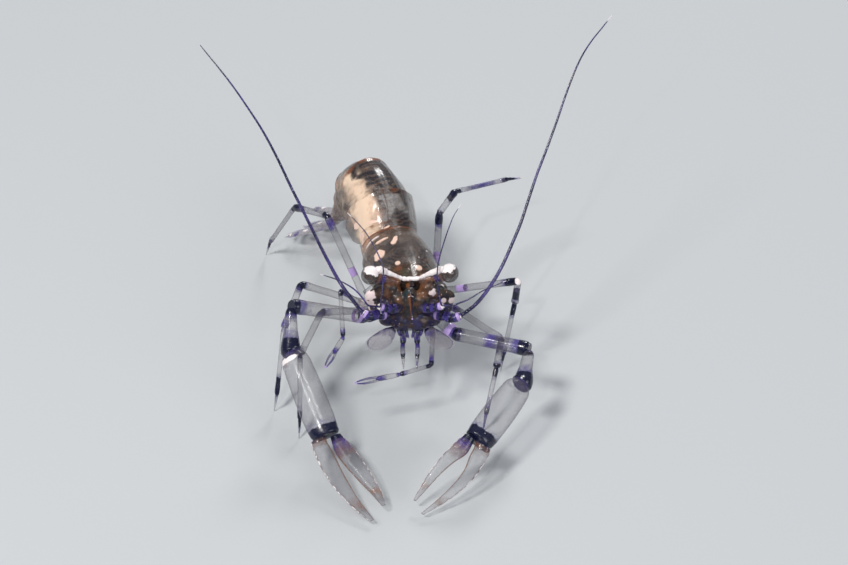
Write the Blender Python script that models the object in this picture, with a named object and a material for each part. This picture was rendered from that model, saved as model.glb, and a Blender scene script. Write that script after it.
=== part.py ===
"""Cleaner shrimp (Ancylomenes), a life-size standing model of the whole animal.

The shrimp faces -Y and stands on its feet at z = 0. +X is the animal's left. Sizes are in
millimetres until a mesh is made, and every piece is a closed loft whose two ends are poles.
The body hangs on one spine, which runs back from the brow and arches down to the tail fan.
"""
import math

import bpy
from mathutils import Matrix, Vector

MM = 0.001
JOINT_GAP = 0.05          # between two pieces that meet
FEELER_RADIUS = 0.26      # the thinnest solid is just over half a millimetre thick
LEFT, RIGHT = 1, -1
SIDE_NAMES = {LEFT: "left", RIGHT: "right"}

# The spine: each length runs back from the one before, with its slope and its turn to the
# animal's right, in degrees.
BROW = Vector((0.0, -0.05, 5.12))
SPINE = (
    ("carapace", 2.45, -15.0, 5.0),
    ("carapace", 2.45, -8.0, 17.0),
    ("somite_1", 0.95, 20.0, 14.0),
    ("somite_2", 1.30, 30.0, 14.0),
    ("somite_3", 1.75, 8.0, 22.0),
    ("somite_4", 1.40, -40.0, 35.0),
    ("somite_5", 1.15, -66.0, 40.0),
    ("somite_6", 2.15, -62.0, 36.0),
)
SPINE_STEPS = 12          # smooth steps between two spine joints

# Half-width and half-height of the carapace, by the share of its length from the brow.
CARAPACE_SHAPE = (
    (0.00, 0.80, 0.93), (0.06, 0.98, 1.03), (0.16, 1.18, 1.16), (0.28, 1.34, 1.28),
    (0.42, 1.47, 1.36), (0.57, 1.55, 1.41), (0.72, 1.59, 1.42), (0.86, 1.60, 1.41),
    (0.96, 1.56, 1.37), (1.00, 1.49, 1.31),
)
CARAPACE_SIDES = 24

# Half-width and half-height of each abdominal somite at its front and rear edges, and how far
# its side lobes (pleura) hang below its flanks.
SOMITE_SHAPE = {
    "somite_1": (1.32, 1.22, 1.36, 1.26, 0.10),
    "somite_2": (1.37, 1.27, 1.39, 1.33, 0.26),
    "somite_3": (1.39, 1.33, 1.27, 1.22, 0.22),
    "somite_4": (1.26, 1.21, 1.07, 1.05, 0.16),
    "somite_5": (1.06, 1.04, 0.86, 0.88, 0.12),
    "somite_6": (0.82, 0.84, 0.54, 0.54, 0.00),
}
SOMITE_RINGS = 5
SOMITE_SIDES = 20

ROSTRUM_LENGTH = 3.1
ROSTRUM_TEETH = 7
ROSTRUM_AHEAD = Vector((0.04, -1.0, 0.03))
EYE_RADIUS = 0.47
EYES = {LEFT: Vector((1.87, -0.04, 6.46)), RIGHT: Vector((-1.88, -0.22, 6.47))}
# Each swimmeret's length, and how far it hangs square to its own somite.
SWIMMERETS = {"somite_1": (0.95, 1.0), "somite_2": (1.10, 1.0), "somite_3": (0.95, 0.9),
              "somite_4": (0.85, -0.25), "somite_5": (0.80, -0.5)}
SWIMMERET_LIE = Vector((0.08, -0.50, -1.30))    # folded down and forward
TELSON_LENGTH = 2.2
TAIL_SLOPE = -27.0        # the tail fan's slope: its blades trail on the floor

# The pose: the joints of each limb after the hip, in millimetres before the model is centred.
# A walking leg's joints are its knee, wrist, ankle and tip.
WALKING_LEGS = {
    "leg_left_front": (LEFT, 2.30, 1.72, ((4.42, -0.80, 2.95), (4.17, -2.05, 2.20),
                                          (3.65, -3.84, 0.75), (3.51, -4.25, 0.00))),
    "leg_left_middle": (LEFT, 3.10, 1.74, ((5.22, 1.00, 5.10), (5.08, 0.95, 3.75),
                                           (4.55, 0.30, 0.95), (4.42, 0.15, 0.00))),
    "leg_left_rear": (LEFT, 3.90, 1.70, ((1.42, 4.37, 6.60), (2.19, 5.88, 6.72),
                                         (4.83, 7.90, 5.90), (5.58, 8.23, 5.70))),
    "leg_right_front": (RIGHT, 2.30, 1.72, ((-4.30, 0.30, 3.70), (-5.30, -1.90, 2.90),
                                            (-5.30, -4.35, 0.90), (-5.34, -4.75, 0.00))),
    "leg_right_middle": (RIGHT, 3.10, 1.74, ((-5.30, 1.35, 4.60), (-6.10, -0.70, 3.55),
                                             (-6.45, -2.60, 0.90), (-6.60, -2.75, 0.00))),
    "leg_right_rear": (RIGHT, 3.90, 1.70, ((-4.10, 5.30, 5.70), (-5.75, 7.35, 4.55),
                                           (-7.10, 9.00, 0.95), (-7.33, 9.13, 0.00))),
}
LEG_RADII = (0.30, 0.29, 0.28, 0.26, 0.25)    # ischium, merus, carpus, propodus, dactyl

# The great clawed legs: elbow, wrist, root of the fingers, then the outer and inner tips.
GREAT_CLAWS = {
    LEFT: ((5.74, -2.20, 3.50), (5.42, -3.72, 2.82), (3.22, -7.30, 2.15),
           (0.62, -10.31, 0.30), (0.24, -9.60, 0.52)),
    RIGHT: ((-5.71, -1.11, 5.30), (-5.71, -2.68, 3.95), (-4.00, -6.42, 1.68),
            (-1.78, -10.75, 0.28), (-1.22, -9.95, 0.50)),
}
CLAW_BENDS = {LEFT: Vector((2.10, -0.75, 3.25)), RIGHT: Vector((-2.15, 0.60, 3.15))}
PALM_HALF_WIDTH = 0.82
PALM_HALF_DEPTH = 0.56
FINGER_OFFSET = 0.44      # from the palm's middle line to each finger's root
FINGER_BOW = 0.34         # how far a finger bends out of the line from root to tip
CLAW_FACING = Vector((0.0, -0.766, 0.643))    # both claws open in the plane that faces this way

# The small clawed legs that pick at the client's skin: shoulder, knee, wrist and claw tip.
SMALL_CLAWS = {
    LEFT: ((1.10, -0.60, 3.24), (1.02, -2.80, 3.00), (-0.44, -3.36, 2.92),
           (-2.66, -3.95, 2.86)),
    RIGHT: ((-1.30, -0.10, 3.72), (-3.37, 0.20, 5.18), (-3.18, -1.50, 3.72),
            (-4.10, -2.45, 2.53)),
}

# Feelers: the root, then the points that each passes, out to its tip.
FEELERS = {
    LEFT: ((2.49, -1.19, 4.80), (3.36, -0.66, 5.30), (4.33, 0.51, 6.20), (5.29, 1.97, 7.80),
           (6.02, 3.56, 9.30), (6.75, 4.90, 10.70), (8.21, 7.72, 13.40), (9.78, 9.48, 14.80)),
    RIGHT: ((-2.31, -1.08, 4.90), (-3.13, -0.27, 5.60), (-3.85, 0.64, 6.40),
            (-4.81, 1.73, 8.00), (-5.77, 2.93, 9.50), (-6.97, 4.52, 11.30),
            (-8.57, 6.25, 13.00), (-10.13, 7.86, 14.20)),
}
UPPER_WHISKERS = {
    LEFT: ((1.50, -1.45, 5.68), (1.31, -0.93, 6.58), (1.38, -0.06, 7.27), (1.97, 1.60, 8.30),
           (2.45, 2.22, 8.90)),
    RIGHT: ((-1.42, -1.55, 5.68), (-1.30, -0.88, 6.50), (-1.32, -0.20, 7.12),
            (-2.10, 1.10, 8.00), (-3.00, 1.90, 8.60)),
}
LOWER_WHISKERS = {
    LEFT: ((2.08, -1.42, 5.62), (2.80, -1.38, 5.95), (3.50, -1.15, 6.30), (4.60, -0.90, 6.70)),
    RIGHT: ((-1.98, -1.45, 5.62), (-2.65, -0.90, 6.15), (-3.46, -0.72, 6.60),
            (-4.30, -0.70, 6.95)),
}
FEELER_RINGS = 22
WHISKER_RINGS = 9

COLOURS = {
    "shell": (0.46, 0.40, 0.36, 1.0),
    "saddle": (0.80, 0.62, 0.48, 1.0),
    "eye": (0.30, 0.27, 0.28, 1.0),
    "violet": (0.16, 0.12, 0.38, 1.0),
    "navy": (0.03, 0.03, 0.14, 1.0),
    "limb": (0.42, 0.40, 0.46, 1.0),
    "fan": (0.72, 0.62, 0.62, 1.0),
}


# ---------------------------------------------------------------- curves and rings

def smooth_between(p0, p1, p2, p3, t):
    """A point on the Catmull-Rom curve from p1 to p2."""
    return 0.5 * (2 * p1 + (p2 - p0) * t + (2 * p0 - 5 * p1 + 4 * p2 - p3) * t ** 2
                  + (3 * p1 - p0 - 3 * p2 + p3) * t ** 3)


def smooth_path(points, steps):
    """Steps points per span on a smooth curve through all the points given."""
    points = [Vector(point) for point in points]
    ends = [2 * points[0] - points[1]] + points + [2 * points[-1] - points[-2]]
    path = []
    for span in range(len(points) - 1):
        corners = ends[span:span + 4]
        path += [smooth_between(*corners, step / steps) for step in range(steps)]
    return path + [points[-1]]


def path_lengths(path):
    lengths = [0.0]
    for start, end in zip(path, path[1:]):
        lengths.append(lengths[-1] + (end - start).length)
    return lengths


def point_along(path, lengths, distance):
    """The point and the direction at a distance along a path."""
    distance = min(max(distance, 0.0), lengths[-1])
    span = 0
    while span < len(path) - 2 and lengths[span + 1] < distance:
        span += 1
    reach = path[span + 1] - path[span]
    share = (distance - lengths[span]) / reach.length
    return path[span] + reach * share, reach.normalized()


def carried_frames(points, first_side):
    """Side and up vectors at each point, carried along the path without twisting."""
    frames = []
    side = Vector(first_side)
    for index in range(len(points)):
        before = points[max(index - 1, 0)]
        after = points[min(index + 1, len(points) - 1)]
        ahead = (after - before).normalized()
        side = (side - ahead * side.dot(ahead)).normalized()
        frames.append((side.copy(), ahead.cross(side)))
    return frames


def oval_ring(centre, side, up, half_width, half_depth, sides=8):
    turns = (math.tau * index / sides for index in range(sides))
    return [centre + side * (half_width * math.sin(turn)) + up * (half_depth * math.cos(turn))
            for turn in turns]


# ---------------------------------------------------------------- making the solids

def plain_material(name, colour, roughness=0.35):
    material = bpy.data.materials.new(name)
    material.use_nodes = True
    shader = material.node_tree.nodes["Principled BSDF"]
    shader.inputs["Base Color"].default_value = COLOURS[colour]
    shader.inputs["Roughness"].default_value = roughness
    shader.inputs["Metallic"].default_value = 0.0
    return material


def closed_loft(name, rings, colour, start=None, end=None):
    """A closed solid through rings of equal count, each end drawn to one pole."""
    sides = len(rings[0])
    start = start if start is not None else sum(rings[0], Vector()) / sides
    end = end if end is not None else sum(rings[-1], Vector()) / sides
    corners = [start, end] + [corner for ring in rings for corner in ring]
    faces = []
    last = 2 + (len(rings) - 1) * sides
    for index in range(sides):
        after = (index + 1) % sides
        faces.append((0, 2 + after, 2 + index))
        faces.append((1, last + index, last + after))
        for row in range(2, last, sides):
            faces.append((row + index, row + after, row + sides + after, row + sides + index))
    mesh = bpy.data.meshes.new(name)
    mesh.from_pydata([corner * MM for corner in corners], [], faces)
    turn_faces_outward(mesh)
    mesh.materials.append(plain_material(name, colour))
    mesh.shade_smooth()
    solid = bpy.data.objects.new(name, mesh)
    bpy.context.scene.collection.objects.link(solid)
    return solid


def turn_faces_outward(mesh):
    """Flip every face if the loft ran the other way round and enclosed a negative volume."""
    mesh.calc_loop_triangles()
    volume = 0.0
    for triangle in mesh.loop_triangles:
        a, b, c = (mesh.vertices[index].co for index in triangle.vertices)
        volume += a.dot(b.cross(c))
    if volume < 0:
        mesh.flip_normals()


def bend_room(joints, index, radius, knuckle):
    """How far from a joint the next ring has to stay, so that a sharp bend doesn't fold in."""
    if index in (0, len(joints) - 1):
        return knuckle
    before = (joints[index] - joints[index - 1]).normalized()
    after = (joints[index + 1] - joints[index]).normalized()
    return max(knuckle, 1.08 * radius * math.tan(before.angle(after) / 2))


def limb_stations(joints, radii, knuckle):
    """Ring centres and radii down a jointed limb: two swellings and a waist at each joint."""
    stations = [(joints[0], radii[0] * 0.92)]
    for index, radius in enumerate(radii):
        start, end = joints[index], joints[index + 1]
        length = (end - start).length
        near = min(bend_room(joints, index, radius, knuckle) / length, 0.42)
        far = min(bend_room(joints, index + 1, radius, knuckle) / length, 0.42)
        stations += [(start.lerp(end, near), radius),
                     (start.lerp(end, (near + 1.0 - far) / 2), radius * 0.96),
                     (start.lerp(end, 1.0 - far), radius * 1.04), (end, radius * 0.94)]
    return stations


def jointed_limb(name, joints, radii, colour, knuckle=0.34, sides=8):
    joints = [Vector(joint) for joint in joints]
    stations = limb_stations(joints, radii, knuckle)
    frames = carried_frames([centre for centre, _ in stations], (0.3, 0.2, 1.0))
    rings = [oval_ring(centre, side, up, radius, radius, sides)
             for (centre, radius), (side, up) in zip(stations, frames)]
    return closed_loft(name, rings, colour)


def whip(name, points, rings, colour, radius=FEELER_RADIUS, sides=5):
    """A feeler: an even thin rod along a smooth path."""
    path = smooth_path(points, 8)
    lengths = path_lengths(path)
    centres = [point_along(path, lengths, lengths[-1] * index / (rings - 1))[0]
               for index in range(rings)]
    frames = carried_frames(centres, (0.2, 0.3, 1.0))
    return closed_loft(name, [oval_ring(centre, side, up, radius, radius, sides)
                              for centre, (side, up) in zip(centres, frames)], colour)


def blade(name, root, ahead, side, length, half_width, half_depth, colour, sides=8):
    """A flat paddle: narrow at its root, widest past the middle, round at its end."""
    ahead, side = Vector(ahead).normalized(), Vector(side)
    side = (side - ahead * side.dot(ahead)).normalized()
    up = ahead.cross(side)
    shape = ((0.0, 0.42), (0.14, 0.68), (0.36, 0.92), (0.62, 1.0), (0.84, 0.84), (1.0, 0.42))
    rings = [oval_ring(root + ahead * (length * share), side, up,
                       max(half_width * width, FEELER_RADIUS), half_depth, sides)
             for share, width in shape]
    return closed_loft(name, rings, colour)


# ---------------------------------------------------------------- the spine

def spine_joints():
    joints = [BROW.copy()]
    for _, length, slope, turn in SPINE:
        slope, turn = math.radians(slope), math.radians(turn)
        reach = Vector((-math.sin(turn) * math.cos(slope), math.cos(turn) * math.cos(slope),
                        math.sin(slope)))
        joints.append(joints[-1] + reach * length)
    return joints


class Spine:
    """The body's middle line, with distances in millimetres back from the brow."""

    def __init__(self):
        joints = spine_joints()
        self.path = smooth_path(joints, SPINE_STEPS)
        self.lengths = path_lengths(self.path)
        self.marks = [self.lengths[index * SPINE_STEPS] for index in range(len(joints))]
        self.tail_end = joints[-1]

    def frame(self, distance):
        """The centre, the animal's left, its back and the way to the tail at a distance."""
        centre, _ = point_along(self.path, self.lengths, distance)
        ahead = sum((point_along(self.path, self.lengths, distance + shift)[1]
                     for shift in (-0.3, -0.15, 0.0, 0.15, 0.3)), Vector()).normalized()
        left = ahead.cross(Vector((0, 0, 1))).normalized()
        return centre, left, left.cross(ahead), ahead

    def cut_frame(self, distance, gap):
        """The frame of a cut across the body, moved back by the gap that the cut leaves."""
        centre, left, up, ahead = self.frame(distance)
        return centre + ahead * gap, left, up

    def place(self, distance, left_shift, up_shift):
        centre, left, up, _ = self.frame(distance)
        return centre + left * left_shift + up * up_shift

    def span(self, name):
        """Where a named part of the spine starts and ends."""
        spans = [index for index, part in enumerate(SPINE) if part[0] == name]
        return self.marks[spans[0]], self.marks[spans[-1] + 1]


# ---------------------------------------------------------------- the shell of the body

def carapace_ring(spine, distance, half_width, half_height):
    """An upright egg: full at the flanks, drawn in and flattened under the legs."""
    centre, left, up, _ = spine.frame(distance)
    ring = []
    for index in range(CARAPACE_SIDES):
        turn = math.tau * index / CARAPACE_SIDES
        across, above = math.sin(turn), math.cos(turn)
        drawn_in = 1.0 - 0.22 * max(-above, 0.0) ** 1.5
        flattened = above if above > 0 else -0.93 * abs(above) ** 0.72
        ring.append(centre + left * (half_width * across * drawn_in)
                    + up * (half_height * flattened))
    return ring


def make_carapace(spine):
    start, end = spine.span("carapace")
    reach = end - start
    rings = [carapace_ring(spine, start + reach * share, half_width, half_height)
             for share, half_width, half_height in CARAPACE_SHAPE]
    closed_loft("carapace", rings, "shell")


def somite_ring(frame, half_width, half_height, lobe):
    """A hoop over the back, with two hanging side lobes and a hollow between them."""
    centre, left, up = frame
    hoop = SOMITE_SIDES - 5
    ring = []
    for index in range(hoop):
        turn = math.radians(-128.0 + 256.0 * index / (hoop - 1))
        across, above = math.sin(turn), math.cos(turn)
        hang = lobe * max(-above, 0.0) / 0.62
        ring.append(centre + left * (half_width * across)
                    + up * (half_height * above - hang))
    for share in (0.42, 0.24, 0.0, -0.24, -0.42):
        rise = -0.44 if abs(share) < 0.4 else -0.52
        ring.append(centre + left * (half_width * share) + up * (half_height * rise))
    return ring


def make_somite(spine, name):
    start, end = spine.span(name)
    front_width, front_height, rear_width, rear_height, lobe = SOMITE_SHAPE[name]
    rings = []
    for index in range(SOMITE_RINGS):
        share = index / (SOMITE_RINGS - 1)
        frame = spine.cut_frame(start + (end - start) * share, JOINT_GAP * (1 - share))
        half_width = front_width + (rear_width - front_width) * share
        half_height = front_height + (rear_height - front_height) * share
        rings.append(somite_ring(frame, half_width, half_height,
                                 lobe * math.sin(math.pi * (0.15 + 0.7 * share))))
    closed_loft(name, rings, "saddle" if name == "somite_3" else "shell")


def make_rostrum(spine):
    """The toothed beak over the brow, a thin upright blade that tapers to a point."""
    centre, left, up, back = spine.frame(0.0)
    ahead = ROSTRUM_AHEAD.normalized()
    root = centre + up * 0.66 - back * (JOINT_GAP + 0.02)
    rings = []
    count = 2 * ROSTRUM_TEETH + 1
    for index in range(count):
        share = index / (count - 1)
        half_height = 0.40 - 0.15 * share
        tooth = 0.07 if index % 2 and share < 0.95 else 0.0
        middle = root + ahead * (ROSTRUM_LENGTH * share) + up * (0.16 * share ** 2 + tooth / 2)
        rings.append(oval_ring(middle, left, up, FEELER_RADIUS, half_height + tooth / 2, 8))
    closed_loft("rostrum", rings, "shell")


# ---------------------------------------------------------------- the tail fan

def make_tail_fan(spine):
    _, _, slope, turn = SPINE[-1]
    turn, slope = math.radians(turn), math.radians(TAIL_SLOPE)
    ahead = Vector((-math.sin(turn) * math.cos(slope), math.cos(turn) * math.cos(slope),
                    math.sin(slope)))
    left = ahead.cross(Vector((0, 0, 1))).normalized()
    up = left.cross(ahead)
    root = spine.tail_end + ahead * 0.40
    blade("telson", root + up * 0.36 + ahead * 0.08, ahead, left, TELSON_LENGTH, 0.48, 0.25,
          "fan")
    for side in (LEFT, RIGHT):
        for kind, spread, shift, length, half_width in (("inner", 15.0, 0.33, 2.15, 0.44),
                                                        ("outer", 38.0, 0.94, 2.25, 0.50)):
            turned = Matrix.Rotation(-side * math.radians(spread), 3, up) @ ahead
            across = turned.cross(up)
            foot = root + left * (side * shift) - up * 0.20 - ahead * (0.10 * shift)
            rest_on_floor(blade(f"uropod_{SIDE_NAMES[side]}_{kind}", foot, turned, across,
                                length, half_width, 0.25, "fan"))


def rest_on_floor(solid):
    """Press whatever hangs below the floor up to it, as a small flat."""
    for corner in solid.data.vertices:
        corner.co.z = max(corner.co.z, 0.0)


def make_swimmerets(spine):
    """A paddle under each side of the first five somites."""
    for number, (name, (length, square)) in enumerate(SWIMMERETS.items(), start=1):
        start, end = spine.span(name)
        half_height = SOMITE_SHAPE[name][1]
        for side in (LEFT, RIGHT):
            middle = (start + end) / 2
            _, left, up, _ = spine.frame(middle)
            root = spine.place(middle, side * 0.31, -half_height * 0.52 - 0.24)
            ahead = (SWIMMERET_LIE - up * square).normalized()
            blade(f"swimmeret_{SIDE_NAMES[side]}_{number}", root, ahead, left, length,
                  0.27, FEELER_RADIUS, "limb")


# ---------------------------------------------------------------- the head

def make_eyes(spine):
    for side in (LEFT, RIGHT):
        centre = EYES[side]
        socket = spine.place(0.0, side * 0.60, 0.93) + Vector((0.0, -0.30, 0.0))
        away = (centre - socket).normalized()
        across = away.cross(Vector((0, 0, 1))).normalized()
        up = across.cross(away)
        rings = []
        for index in range(1, 8):
            turn = math.pi * index / 8
            rings.append(oval_ring(centre - away * (EYE_RADIUS * math.cos(turn)), across, up,
                                   EYE_RADIUS * math.sin(turn), EYE_RADIUS * math.sin(turn),
                                   12))
        closed_loft(f"eye_{SIDE_NAMES[side]}", rings, "eye",
                    start=centre - away * EYE_RADIUS, end=centre + away * EYE_RADIUS)
        neck = centre - away * (EYE_RADIUS + JOINT_GAP)
        jointed_limb(f"eyestalk_{SIDE_NAMES[side]}", (socket, neck), (0.26,), "shell")


def make_antennules():
    """The inner feelers' jointed stems, each with two fine whiskers side by side."""
    for side in (LEFT, RIGHT):
        upper, lower = UPPER_WHISKERS[side], LOWER_WHISKERS[side]
        tip = (Vector(upper[0]) + Vector(lower[0])) / 2
        root = Vector((side * 0.42, -0.86, 5.05))
        elbow = root.lerp(tip, 0.34) + Vector((side * 0.03, -0.16, -0.03))
        name = SIDE_NAMES[side]
        away = (tip - elbow).normalized()
        jointed_limb(f"antennule_{name}", (root, elbow, tip - away * 0.54), (0.27, 0.27),
                     "violet", knuckle=0.25)
        whip(f"whisker_{name}_upper", upper, WHISKER_RINGS, "violet")
        whip(f"whisker_{name}_lower", lower, WHISKER_RINGS, "violet")


def make_antennae():
    """The outer feelers: a stout stem, a long whip and a flat scale beside each."""
    for side in (LEFT, RIGHT):
        name = SIDE_NAMES[side]
        tip = Vector(FEELERS[side][0])
        root = Vector((side * 1.08, -0.62, 4.50))
        away = (Vector(FEELERS[side][1]) - tip).normalized()
        jointed_limb(f"antenna_{name}", (root, root.lerp(tip, 0.55) + Vector((0, -0.18, -0.06)),
                                         tip - away * 0.36), (0.36, 0.31), "violet",
                     knuckle=0.25)
        whip(f"feeler_{name}", FEELERS[side], FEELER_RINGS, "navy")
        scale_root = Vector((side * 0.88, -1.04, 3.83))
        blade(f"antenna_scale_{name}", scale_root, (side * 0.50, -0.86, 0.12),
              (side * 0.86, 0.50, 0.0), 2.1, 0.52, 0.25, "violet")


def make_mouth():
    """The bundle of jaws under the head, and the pair of jaw feet that hang before it."""
    rings = [oval_ring(Vector((0.0, -0.30 - 0.55 * share, 3.98 - 0.30 * share)),
                       Vector((1, 0, 0)), Vector((0, -0.3, 0.95)), 0.66 * width,
                       0.44 * width, 10)
             for share, width in ((0.0, 0.62), (0.25, 0.95), (0.6, 1.0), (1.0, 0.6))]
    closed_loft("mouthparts", rings, "violet")
    for side in (LEFT, RIGHT):
        joints = ((side * 0.32, -0.75, 3.24), (side * 0.36, -1.45, 2.96),
                  (side * 0.32, -2.40, 2.40))
        jointed_limb(f"jaw_foot_{SIDE_NAMES[side]}", joints, (0.27, 0.25), "violet",
                     knuckle=0.22)


# ---------------------------------------------------------------- the legs

def hip(spine, side, station, under, out=0.62):
    """A hip under the carapace, the shift being down from the spine."""
    return spine.place(station, side * out, -under)


def make_walking_legs(spine):
    for name, (side, station, under, joints) in WALKING_LEGS.items():
        root = hip(spine, side, station, under)
        _, left, _, _ = spine.frame(station)
        shoulder = root + left * (side * 1.22)
        leg = jointed_limb(name, (root, shoulder) + joints, LEG_RADII, "limb")
        if joints[-1][2] == 0.0:
            set_foot_flat(leg)


def set_foot_flat(leg):
    """Level the leg's last ring and pole at the floor, as a small flat."""
    corners = leg.data.vertices
    foot = [1] + list(range(len(corners) - 8, len(corners)))
    for index in foot:
        corners[index].co.z = 0.0


def make_small_claws(spine):
    for side in (LEFT, RIGHT):
        name = SIDE_NAMES[side]
        shoulder, knee, wrist, tip = (Vector(joint) for joint in SMALL_CLAWS[side])
        root = hip(spine, side, 0.55, 1.58, 0.50)
        reach = (wrist - knee).normalized()
        away = (tip - wrist).normalized()
        jointed_limb(f"small_claw_arm_{name}",
                     (root, shoulder, knee, wrist - reach * 0.12), (0.27, 0.27, 0.26),
                     "violet")
        blade(f"small_claw_{name}", wrist + away * 0.16, away, (0, 0.4, 1),
              (tip - wrist).length - 0.16, 0.30, FEELER_RADIUS, "violet")


def make_great_claws(spine):
    for side in (LEFT, RIGHT):
        name = SIDE_NAMES[side]
        elbow, wrist, root, outer_tip, inner_tip = (Vector(p) for p in GREAT_CLAWS[side])
        shoulder = hip(spine, side, 1.62, 1.76, 0.82)
        bend = CLAW_BENDS[side]
        jointed_limb(f"claw_arm_{name}", (shoulder, bend, elbow), (0.34, 0.38), "limb",
                     knuckle=0.40)
        down = (wrist - elbow).normalized()
        jointed_limb(f"claw_wrist_{name}",
                     (elbow + down * 0.48, elbow.lerp(wrist, 0.66), wrist), (0.36, 0.44),
                     "limb", knuckle=0.30)
        make_palm(f"claw_palm_{name}", side, wrist, root, outer_tip)
        make_finger(f"claw_finger_{name}", side, wrist, root, inner_tip)


def claw_axes(side, wrist, root):
    """The palm's direction, its outer side and its thickness direction."""
    ahead = (root - wrist).normalized()
    outer = ahead.cross(CLAW_FACING).normalized() * -side
    if outer.x * side < 0:
        outer = -outer
    return ahead, outer, ahead.cross(outer)


def finger_centres(root, tip, bow, count):
    return [root.lerp(tip, index / (count - 1))
            + bow * math.sin(math.pi * (index / (count - 1)) ** 0.9)
            for index in range(count)]


def make_palm(name, side, wrist, root, tip):
    """The palm and its fixed outer finger, in one piece."""
    ahead, outer, deep = claw_axes(side, wrist, root)
    start = wrist + ahead * 0.30
    length = (root - start).length
    rings = []
    for share, width in ((0.0, 0.46), (0.07, 0.72), (0.22, 0.90), (0.5, 1.0), (0.8, 0.99),
                         (0.94, 0.95), (1.0, 0.93)):
        rings.append(oval_ring(start + ahead * (length * share), outer, deep,
                               PALM_HALF_WIDTH * width, PALM_HALF_DEPTH * min(1.0, width + 0.08),
                               10))
    foot = root + outer * FINGER_OFFSET + ahead * 0.10
    centres = finger_centres(foot, tip, outer * FINGER_BOW, 7)
    for centre, width in zip(centres, (0.40, 0.38, 0.36, 0.34, 0.31, 0.28, 0.25)):
        rings.append(oval_ring(centre, outer, deep, width, max(width * 0.9, 0.25), 10))
    closed_loft(name, rings, "limb")


def make_finger(name, side, wrist, root, tip):
    """The moving inner finger."""
    ahead, outer, deep = claw_axes(side, wrist, root)
    foot = root - outer * FINGER_OFFSET + ahead * 0.16
    centres = finger_centres(foot, tip, outer * (-0.4 * FINGER_BOW), 7)
    rings = [oval_ring(centre, outer, deep, width, max(width * 0.9, 0.25), 8)
             for centre, width in zip(centres, (0.33, 0.34, 0.33, 0.31, 0.29, 0.27, 0.25))]
    closed_loft(name, rings, "limb")


# ---------------------------------------------------------------- the whole animal

def solids():
    return [piece for piece in bpy.context.scene.objects if piece.type == "MESH"]


def centre_on_floor():
    """Bring the model's origin to the middle of its footprint, at floor level."""
    corners = [corner.co for piece in solids() for corner in piece.data.vertices]
    middle = Vector((sum(f(corner.x for corner in corners) for f in (min, max)) / 2,
                     sum(f(corner.y for corner in corners) for f in (min, max)) / 2,
                     min(corner.z for corner in corners)))
    for piece in solids():
        piece.data.transform(Matrix.Translation(-middle))


def main():
    for old in list(bpy.data.objects):
        bpy.data.objects.remove(old, do_unlink=True)
    spine = Spine()
    make_carapace(spine)
    make_rostrum(spine)
    for name in SOMITE_SHAPE:
        make_somite(spine, name)
    make_tail_fan(spine)
    make_swimmerets(spine)
    make_eyes(spine)
    make_antennules()
    make_antennae()
    make_mouth()
    make_small_claws(spine)
    make_great_claws(spine)
    make_walking_legs(spine)
    centre_on_floor()


main()
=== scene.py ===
"""Cleaner shrimp: the clear shell, the painted bands, the innards that show through, and the
feelers, legs, claws and fans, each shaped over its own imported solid.

The shrimp faces -Y, and +X is its left. Shapes are worked out in millimetres and made in metres.
"""
import math

import bmesh
import bpy
import numpy as np
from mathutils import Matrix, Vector, noise
from mathutils.bvhtree import BVHTree


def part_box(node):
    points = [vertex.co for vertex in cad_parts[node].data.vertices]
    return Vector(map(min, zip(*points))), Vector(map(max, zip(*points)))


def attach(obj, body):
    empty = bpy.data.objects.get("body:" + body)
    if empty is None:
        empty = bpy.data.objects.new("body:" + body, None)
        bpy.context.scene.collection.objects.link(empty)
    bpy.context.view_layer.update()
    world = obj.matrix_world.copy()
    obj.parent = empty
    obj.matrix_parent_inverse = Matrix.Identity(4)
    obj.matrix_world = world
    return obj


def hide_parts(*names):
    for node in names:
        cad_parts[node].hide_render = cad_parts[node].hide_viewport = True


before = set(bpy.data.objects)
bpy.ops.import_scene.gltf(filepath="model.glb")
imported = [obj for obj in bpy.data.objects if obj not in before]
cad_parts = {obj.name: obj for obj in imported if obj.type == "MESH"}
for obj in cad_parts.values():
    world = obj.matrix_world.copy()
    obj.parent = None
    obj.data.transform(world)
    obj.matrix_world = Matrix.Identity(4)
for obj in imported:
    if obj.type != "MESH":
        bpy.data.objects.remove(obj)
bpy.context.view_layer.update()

MM = 0.001
LEFT, RIGHT = 1, -1
SIDES = {"left": LEFT, "right": RIGHT}
UP = np.array((0.0, 0.0, 1.0))


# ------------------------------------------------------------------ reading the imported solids

def box_middle(node):
    """The middle of a solid's box, in millimetres."""
    low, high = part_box(node)
    return (np.array(low) + np.array(high)) / 2 / MM


def solid_mesh(node):
    """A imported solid's corners, in millimetres, and its triangles, with doubles merged."""
    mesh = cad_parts[node].data
    flat = np.empty(len(mesh.vertices) * 3)
    mesh.vertices.foreach_get("co", flat)
    corners = flat.reshape(-1, 3) / MM
    _, first, index = np.unique(np.round(corners, 4), axis=0, return_index=True,
                                return_inverse=True)
    index = index.ravel()
    return corners[first], [tuple(int(index[k]) for k in face.vertices)
                            for face in mesh.polygons]


def unit(vectors):
    return vectors / np.maximum(np.linalg.norm(vectors, axis=-1, keepdims=True), 1e-12)


def bell(values, centre, width):
    """1 at the centre, falling smoothly away on both sides."""
    return np.exp(-((values - centre) / width) ** 2)


def spot(x, y, middle, widths):
    """1 in the middle of an oval, falling smoothly away."""
    return np.exp(-((x - middle[0]) / widths[0]) ** 2 - ((y - middle[1]) / widths[1]) ** 2)


def ramp(values, start, over):
    """0 up to the start, then rising to 1 over a distance."""
    return np.clip((values - start) / over, 0, 1)


def fade(values, end, over):
    """1 at first, then falling over a distance to 0 at the end."""
    return np.clip((end - values) / over, 0, 1)


def about_centres(rings, scale):
    """Rings made wider or slimmer about their own centres."""
    centres = rings.mean(1, keepdims=True)
    return centres + (rings - centres) * scale


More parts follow.
